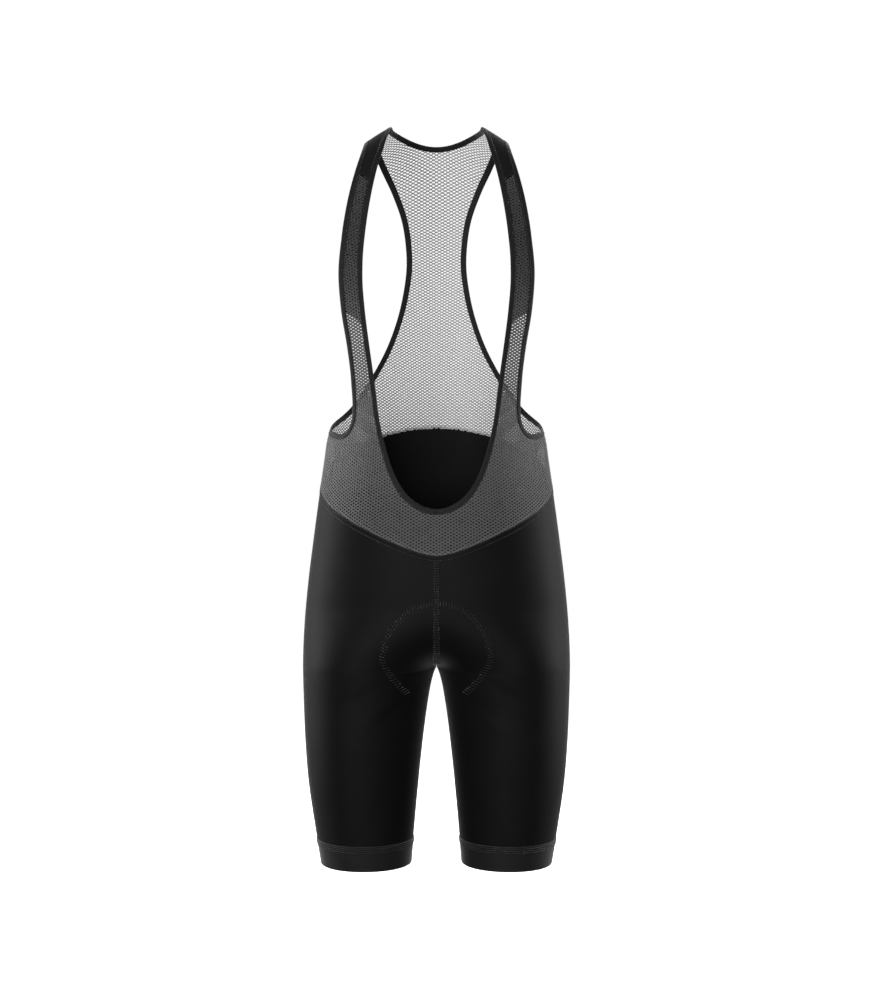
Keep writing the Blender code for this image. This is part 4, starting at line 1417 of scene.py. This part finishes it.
def nearest_on(outline, points):
    """The nearest place on a closed outline to each point."""
    ahead = np.roll(outline, -1, axis=0)
    run = ahead - outline
    best = np.empty_like(points)
    for start in range(0, len(points), POINTS_AT_ONCE):
        some = points[start:start + POINTS_AT_ONCE]
        t = ((some[:, None] - outline) * run).sum(axis=2) / np.maximum((run ** 2).sum(axis=1), TINY)
        foot = outline + np.clip(t, 0, 1)[:, :, None] * run
        nearest = np.argmin(((some[:, None] - foot) ** 2).sum(axis=2), axis=1)
        best[start:start + POINTS_AT_ONCE] = foot[np.arange(len(some)), nearest]
    return best


def seam_share(side, places):
    """How far the net opens near the waist seam: LEAST_OPEN at the seam, 1 where it has no effect."""
    to_seam = fall_at(waist_level(side, np.abs(places[:, 0]) / HALF_GIRTH)) - places[:, 1]
    return LEAST_OPEN + (1 - LEAST_OPEN) * ease(to_seam / CLOSED_BY_SEAM)


def hole_shares(side, centres, openings, opening):
    """How wide and high each hole is as a share of its cell; they close up beside the waist seam."""
    level = level_at(side, centres[:, 1])
    opened = opening * seam_share(side, centres)
    return np.stack([opened * read_down(openings, "wide", level),
                     opened * read_down(openings, "high", level)], axis=1)


def net(name, side, outline, openings, opening, material):
    """A net of rounded threads round even holes, laid on the form, and its thread area."""
    pitch = sizes().net_pitch
    corner_reach = pitch / math.sqrt(3)
    centres = net_holes(outline, pitch)
    turn = np.arange(HOLE_CORNERS) * math.tau / HOLE_CORNERS
    spokes = np.stack([np.cos(turn), np.sin(turn)], axis=1)
    corners = (centres[:, None] + corner_reach * spokes).reshape(-1, 2)
    grid = np.round(corners / (corner_reach / 2, pitch / 2)).astype(int)
    _, first, knot = np.unique(grid, axis=0, return_index=True, return_inverse=True)
    knot = knot.reshape(-1)
    knots = corners[first]
    holes = hole_shares(side, centres, openings, opening)
    rims = (centres[:, None] + holes[:, None] * corner_reach * spokes).reshape(-1, 2)
    places = np.vstack([knots, knots, rims])
    out = ~inside(places, outline)
    places[out] = nearest_on(outline, places[out])
    cloth = FRONT_NET_CLOTH if side == FRONT else BACK_NET_CLOTH
    heights = np.concatenate([np.zeros(len(knots)), np.full(len(knots), -cloth),
                              np.full(len(rims), -cloth / 2)])
    points = lay(side, places, heights)
    top = knot.reshape(-1, HOLE_CORNERS)
    under = top + len(knots)
    rim = np.arange(len(rims)).reshape(-1, HOLE_CORNERS) + 2 * len(knots)
    faces = []
    for k in range(HOLE_CORNERS):
        after = (k + 1) % HOLE_CORNERS
        faces += zip(top[:, k], top[:, after], rim[:, after], rim[:, k])
        faces += zip(under[:, after], under[:, k], rim[:, k], rim[:, after])
    faces = [tuple(int(v) for v in face) for face in faces]
    quads = np.array(faces)
    a, b, c, d = (places[quads[:, k]] for k in range(4))
    cut = c - a
    other = d - b
    size = np.abs(cut[:, 0] * other[:, 1] - cut[:, 1] * other[:, 0]) / 2
    kept = size > SMALLEST_FACE
    faces = [face for face, keep in zip(faces, kept) if keep]
    if side == BACK:
        faces = [tuple(reversed(face)) for face in faces]
    # Painted shade: each knot's ridge takes the share that the table gives at its level, and each
    # hole's rim takes full shade, less where the hole closes up by the waist seam.
    painted_shade = read_down(openings, "shade", level_at(side, knots[:, 1]))
    piece = Piece()
    piece.add(points, faces, places, np.concatenate([painted_shade, painted_shade, seam_share(side, rims)]))
    return piece.build(name, material), float(size.sum() / 2)


def up_to_side(curve):
    """The part of an armhole rail on the front, ended at the side seam."""
    last = np.argmax(curve[:, 0] > HALF_GIRTH)
    t = (HALF_GIRTH - curve[last - 1, 0]) / (curve[last, 0] - curve[last - 1, 0])
    return np.vstack([curve[:last], curve[last - 1] + t * (curve[last] - curve[last - 1])])


def front_outline():
    """Outline of the yoke and both straps, tucked a little under the bindings."""
    neck_run = neck_inset(NECK, BINDING_WIDTH - TUCK)[CAP_STATIONS - 1:]
    arm_run = up_to_side(arm_inset(ARM, BINDING_WIDTH - TUCK))[CAP_STATIONS - 1:]
    half = np.vstack([waist_run(FRONT), arm_run[::-1], neck_run])
    return np.vstack([half, flipped(half)[1:-1]])


def back_outline():
    """Outline of the racer back."""
    neck_run = neck_inset(NAPE, BINDING_WIDTH - TUCK)
    arm_run = arm_inset(ARM, BINDING_WIDTH - TUCK)[::-1]
    arm_run[:, 0] = 2 * HALF_GIRTH - arm_run[:, 0]
    arm_run = up_to_side(arm_run)[::-1]
    half = np.vstack([waist_run(BACK), arm_run, neck_run])
    return np.vstack([half, flipped(half)[1:-1]])


def make_nets():
    """The front net with its straps, and the racer back."""
    front = net_material("front_net_yarn", colours().front_net, painted_shade=0.30)
    # The back net's pale colour is painted backlight, and its rims take lighter painted shade than the
    # front's.
    back = net_material("back_net_yarn_painted_backlight", colours().back_net_painted_backlight, painted_shade=0.75)
    piece, area = net("yoke_net", FRONT, front_outline(), FRONT_OPENINGS, sizes().front_opening, front)
    declare("front_mesh")
    piece, area = net("racer_net", BACK, back_outline(), BACK_OPENINGS, sizes().back_opening, back)
    declare("back_mesh")


# ---------------------------------------------------------------- straps and bindings

def strip_between(neck_run, arm_run, depth, cloth, mirror):
    """A wall of cloth between two rails of pattern places with equal counts."""
    share = np.linspace(0, 1, STRIP_COLUMNS)
    places = (neck_run[:, None] * (1 - share)[None, :, None] + arm_run[:, None] * share[None, :, None])
    places = places.reshape(-1, 2) * np.array([-1 if mirror else 1, 1])
    normal = outward(FRONT, places[:, 0], places[:, 1])
    outer = form(FRONT, places[:, 0], places[:, 1]) - depth * normal
    faces = grid_faces(len(neck_run), STRIP_COLUMNS)
    solid, body = wall(outer, outer - cloth * normal, faces)
    return solid, body, np.vstack([places, places]), sheet_area(outer, faces)


def make_straps():
    """The solid caps over the shoulders, and the black backing behind each strap's net."""
    material = cap_material()
    neck_run = neck_inset(NECK, BINDING_WIDTH - TUCK)
    arm_run = arm_inset(ARM, BINDING_WIDTH - TUCK)
    last_neck = np.argmax(NECK[:, 1] >= fall_at(BACKING_END_INNER)) + 1
    last_arm = np.argmax(ARM[:, 1] >= fall_at(BACKING_END_OUTER)) + 1
    first = CAP_STATIONS - 1
    cap_runs = neck_run[:CAP_STATIONS], arm_run[:CAP_STATIONS]
    backing_runs = [stations(run, [0, 1], [BACKING_STATIONS])
                    for run in (neck_run[first:last_neck], arm_run[first:last_arm])]
    for hand, mirror in HANDS:
        points, faces, places, area = strip_between(*cap_runs, -CAP_PROUD, CAP_CLOTH, mirror)
        piece = Piece()
        piece.add(points, faces, places)
        cap = piece.build("cap_" + hand, material, SHARP)
        declare("shoulder_cap_" + hand)
        points, faces, places, area = strip_between(
            *backing_runs, BACKING_DEPTH, BACKING_CLOTH, mirror)
        piece = Piece()
        piece.add(points, faces, places)
        backing = piece.build("backing_" + hand, material)
        declare("strap_backing_" + hand)


def neck_rail(reach):
    """The closed rail round the neck, a distance in from its edge, laid flat over the ridge."""
    front = neck_inset(NECK, reach)[::-1]
    back = neck_inset(NAPE, reach) * np.array(OVER_RIDGE)
    left = np.vstack([front, back[1:]])
    return np.vstack([left, flipped(left)[1:-1]])


def arm_rail(reach):
    """The closed rail round the left armhole, a distance in from its edge."""
    return arm_inset(ARM, reach)[:-1]


def make_bindings():
    """The bound neck and armholes, with their line of stitches."""
    material = binding_material()
    thickness = sizes().binding_thickness
    stitching = Piece()
    stitch_height = BINDING_MIDDLE + thickness / 2 - THREAD / 2
    bindings = (("neck_edge", "neck_binding", neck_rail, 1),
                ("armhole_left_edge", "armhole_binding_left", arm_rail, 1),
                ("armhole_right_edge", "armhole_binding_right", arm_rail, -1))
    for name, node, rail, hand in bindings:
        flip = np.array([hand, 1])
        runs = [rail(reach) * flip for reach in profile_reaches(BINDING_WIDTH)]
        points, faces, places = strip_from_rails(FRONT, runs, thickness, BINDING_MIDDLE, True)
        piece = Piece()
        piece.add(points, faces, places)
        edge = piece.build(name, material)
        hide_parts(node)
        line = rail(BINDING_STITCH) * flip
        running_stitch(stitching, FRONT, line, stitch_height, BINDING_STITCH_START)
    stitches = stitching.build("binding_stitches", thread_material())


# ---------------------------------------------------------------- sewing

def seam(tape, stitches, side, path, width, height=SEAM_HEIGHT):
    """A low rounded tape along a path, with a line of stitches down each side."""
    start = beside(path, -width / 2)
    rails = [beside(start, reach) for reach in profile_reaches(width)]
    tape.add(*strip_from_rails(side, rails, height, height * SEAM_MIDDLE, False))
    for reach in (-width * SEAM_STITCH_REACH, width * SEAM_STITCH_REACH):
        running_stitch(stitches, side, beside(path, reach), height * SEAM_STITCH_HEIGHT)


def make_seams():
    """Flatlock seams at the centre front and back, the waist, the sides and the strap caps."""
    tape = Piece()
    stitches = Piece()
    for side, top in ((FRONT, WAIST_FRONT), (BACK, WAIST_BACK)):
        start, stop = fall_at(top) + SEAM_START, fall_at(CROTCH) - SEAM_STOP
        falls = np.linspace(start, stop, CENTRE_SEAM_STATIONS)
        path = np.stack([np.zeros(len(falls)), falls], axis=1)
        seam(tape, stitches, side, path, SEAM_WIDTH)
        rungs(stitches, side, path)
    waist = waist_loop(WAIST_SEAM_WIDTH / 2 - WAIST_SEAM_OVERLAP)
    seam(tape, stitches, FRONT, waist, WAIST_SEAM_WIDTH, WAIST_SEAM_HEIGHT)
    top = fall_at(ARMHOLE_SIDE) + BINDING_WIDTH
    falls = np.linspace(top, fall_at(WAIST_SIDE), SIDE_SEAM_STATIONS)
    inner = neck_inset(NECK, BINDING_WIDTH)[CAP_STATIONS - 1]
    outer = arm_inset(ARM, BINDING_WIDTH)[CAP_STATIONS - 1]
    for hand in (-1, 1):
        path = np.stack([np.full(len(falls), hand * HALF_GIRTH), falls], axis=1)
        seam(tape, stitches, FRONT, path, SEAM_WIDTH * SIDE_SEAM_SHARE)
        path = np.linspace(inner, outer, CAP_SEAM_STATIONS) * np.array([hand, 1])
        seam(tape, stitches, FRONT, path, SEAM_WIDTH * CAP_SEAM_SHARE)
    made = tape.build("seam_tape", lycra_material())
    made = stitches.build("seam_stitches", thread_material())


def make_hem_stitches():
    """Rows of stitches that hold each gripper to its leg."""
    piece = Piece()
    for drop in HEM_STITCH_DROPS:
        level = HEM_SEAM - drop
        row, _ = leg_row(level, level, HEM_SEAM)
        middle = row.mean(axis=0)
        run = stations(np.vstack([row[:-1], row[:1]]), [0, 1], [int(lengths(row)[-1] / STITCH_PITCH)])
        away = run - middle
        away[:, 2] = 0
        away /= np.linalg.norm(away, axis=1, keepdims=True)
        raised = run + HEM_STITCH_HEIGHT * away
        ends = raised[:-1] + STITCH_SHARE * (raised[1:] - raised[:-1])
        for hand in (1, -1):
            flip = np.array([hand, 1, 1])
            threads(piece, raised[:-1] * flip, ends * flip, THREAD * away[:-1] * flip)
    made = piece.build("hem_stitches", thread_material())


def make_pad_stitches():
    """The slanted stitches that sew the pad in, spaced as they are seen from the front or back."""
    piece = Piece()
    for side, line in PAD_SEAM.items():
        seen = spaced(curve_through(line), PAD_STITCH_PITCH)
        left, right = beside(seen, -PAD_STITCH_REACH)[:-1], beside(seen, PAD_STITCH_REACH)
        right = right[:-1] + PAD_STITCH_SLANT * (right[1:] - right[:-1])
        left, right = (np.array([on_pattern(side, abs(x), z) for x, z in run])
                       for run in (left, right))
        for hand in (1, -1):
            starts, ends = left * np.array([hand, 1]), right * np.array([hand, 1])
            up = outward(side, starts[:, 0], starts[:, 1])
            threads(piece, lay(side, starts, THREAD / 2), lay(side, ends, THREAD / 2), THREAD * up)
    made = piece.build("pad_stitches", thread_material())


# ---------------------------------------------------------------- the stage

def emitter(name, colour, strength):
    """A plain pale surface with its own light."""
    shader = Shader(name)
    return shader.finish(Base_Color=(*colour, 1), Emission_Color=(*colour, 1),
                         Emission_Strength=strength, Roughness=1.0)


def make_softbox(box):
    """A rectangular light that looks at the garment's middle."""
    data = bpy.data.lights.new(box.name, "AREA")
    data.shape = "RECTANGLE"
    data.size = box.width
    data.size_y = box.height
    data.energy = box.power
    light = bpy.data.objects.new(box.name, data)
    bpy.context.scene.collection.objects.link(light)
    light.location = box.place
    gaze = Vector(LIGHTS_AIM) - Vector(box.place)
    light.rotation_euler = gaze.to_track_quat("-Z", "Y").to_euler()


def make_world():
    """A white surround, which lights the garment only softly."""
    world = bpy.data.worlds.new("white_surround")
    world.use_nodes = True
    tree = world.node_tree
    seen = tree.nodes["Background"]
    seen.inputs["Color"].default_value = (1, 1, 1, 1)
    seen.inputs["Strength"].default_value = 1.0
    soft = tree.nodes.new("ShaderNodeBackground")
    soft.inputs["Color"].default_value = (1, 1, 1, 1)
    soft.inputs["Strength"].default_value = SURROUND_LIGHT
    path = tree.nodes.new("ShaderNodeLightPath")
    mix = tree.nodes.new("ShaderNodeMixShader")
    tree.links.new(path.outputs["Is Camera Ray"], mix.inputs["Fac"])
    tree.links.new(soft.outputs[0], mix.inputs[1])
    tree.links.new(seen.outputs[0], mix.inputs[2])
    tree.links.new(mix.outputs[0], tree.nodes["World Output"].inputs["Surface"])
    bpy.context.scene.world = world


def make_floor():
    """A pale floor well under the hems, which is seen but sheds no light."""
    mesh = bpy.data.meshes.new("floor")
    half = FLOOR_SIZE / 2
    corners = [(-half, -half), (half, -half), (half, half), (-half, half)]
    mesh.from_pydata([(x, y, FLOOR_LEVEL) for x, y in corners], [], [(0, 1, 2, 3)])
    mesh.materials.append(emitter("pale_floor", (1, 1, 1), 1.0))
    floor = bpy.data.objects.new("floor", mesh)
    bpy.context.scene.collection.objects.link(floor)
    floor.visible_diffuse = False
    floor.visible_glossy = False


def make_camera():
    """A level camera whose picture is PICTURE_HEIGHT tall at the garment's middle."""
    data = bpy.data.cameras.new("camera")
    data.sensor_width = SENSOR
    data.sensor_fit = "AUTO"
    data.lens = SENSOR * CAMERA_DISTANCE / PICTURE_HEIGHT
    camera = bpy.data.objects.new("camera", data)
    bpy.context.scene.collection.objects.link(camera)
    camera.location = (CAMERA_SIDE, -CAMERA_DISTANCE, CAMERA_HEIGHT)
    camera.rotation_euler = (math.pi / 2, 0, 0)
    bpy.context.scene.camera = camera


def make_stage():
    """Camera, lights, floor and surround."""
    bpy.context.scene.view_settings.view_transform = "Standard"
    make_camera()
    make_world()
    make_floor()
    for box in SOFTBOXES:
        make_softbox(box)


# ---------------------------------------------------------------- operators and panel

class BIB_OT_stage(bpy.types.Operator):
    """Add the camera, lights, floor and surround"""

    bl_idname = "bib.stage"
    bl_label = "Stage"

    def execute(self, context):
        make_stage()
        return {"FINISHED"}


class BIB_OT_legs(bpy.types.Operator):
    """Add both halves of the shorts"""

    bl_idname = "bib.legs"
    bl_label = "Legs"

    def execute(self, context):
        make_legs()
        return {"FINISHED"}


class BIB_OT_grippers(bpy.types.Operator):
    """Add the band round each leg"""

    bl_idname = "bib.grippers"
    bl_label = "Leg grippers"

    def execute(self, context):
        make_grippers()
        return {"FINISHED"}


class BIB_OT_nets(bpy.types.Operator):
    """Add the front net and the racer back"""

    bl_idname = "bib.nets"
    bl_label = "Nets"

    def execute(self, context):
        make_nets()
        return {"FINISHED"}


class BIB_OT_straps(bpy.types.Operator):
    """Add the shoulder caps and strap backings"""

    bl_idname = "bib.straps"
    bl_label = "Caps and backings"

    def execute(self, context):
        make_straps()
        return {"FINISHED"}


class BIB_OT_bindings(bpy.types.Operator):
    """Add the bound neck and armholes"""

    bl_idname = "bib.bindings"
    bl_label = "Bindings"

    def execute(self, context):
        make_bindings()
        return {"FINISHED"}


class BIB_OT_pad(bpy.types.Operator):
    """Add the pad inside the crotch"""

    bl_idname = "bib.pad"
    bl_label = "Seat pad"

    def execute(self, context):
        make_pad()
        return {"FINISHED"}


class BIB_OT_seams(bpy.types.Operator):
    """Add the seams between the pieces"""

    bl_idname = "bib.seams"
    bl_label = "Seams"

    def execute(self, context):
        make_seams()
        return {"FINISHED"}


class BIB_OT_hem_stitches(bpy.types.Operator):
    """Add the stitches on the grippers"""

    bl_idname = "bib.hem_stitches"
    bl_label = "Hem stitches"

    def execute(self, context):
        make_hem_stitches()
        return {"FINISHED"}


class BIB_OT_pad_stitches(bpy.types.Operator):
    """Add the zigzag that holds the pad"""

    bl_idname = "bib.pad_stitches"
    bl_label = "Pad stitches"

    def execute(self, context):
        make_pad_stitches()
        return {"FINISHED"}


OPERATORS = [BIB_OT_stage, BIB_OT_legs, BIB_OT_grippers, BIB_OT_nets, BIB_OT_straps, BIB_OT_bindings,
             BIB_OT_pad, BIB_OT_seams, BIB_OT_hem_stitches, BIB_OT_pad_stitches]


class BIB_PT_panel(bpy.types.Panel):
    """Lists the pieces of the bib shorts, their sizes and colours."""

    bl_idname = "BIB_PT_panel"
    bl_label = "Bib Shorts"
    bl_space_type = "VIEW_3D"
    bl_region_type = "UI"
    bl_category = "Bib Shorts"

    def draw(self, context):
        layout = self.layout
        for group in (context.scene.bib_sizes, context.scene.bib_colours):
            for name in group.__annotations__:
                layout.prop(group, name)
        for made in OPERATORS:
            layout.operator(made.bl_idname)


CLASSES = [BibSizes, BibColours, *OPERATORS, BIB_PT_panel]


def register():
    """Register the classes and the scene's settings."""
    for made in CLASSES:
        bpy.utils.register_class(made)
    bpy.types.Scene.bib_sizes = PointerProperty(type=BibSizes)
    bpy.types.Scene.bib_colours = PointerProperty(type=BibColours)


def unregister():
    """Take the settings and the classes away again."""
    del bpy.types.Scene.bib_colours
    del bpy.types.Scene.bib_sizes
    for made in reversed(CLASSES):
        bpy.utils.unregister_class(made)


def main():
    """Make every piece in order."""
    register()
    bpy.ops.bib.stage()
    bpy.ops.bib.legs()
    bpy.ops.bib.grippers()
    bpy.ops.bib.nets()
    bpy.ops.bib.straps()
    bpy.ops.bib.bindings()
    bpy.ops.bib.pad()
    bpy.ops.bib.seams()
    bpy.ops.bib.hem_stitches()
    bpy.ops.bib.pad_stitches()


if __name__ == "__main__":
    main()
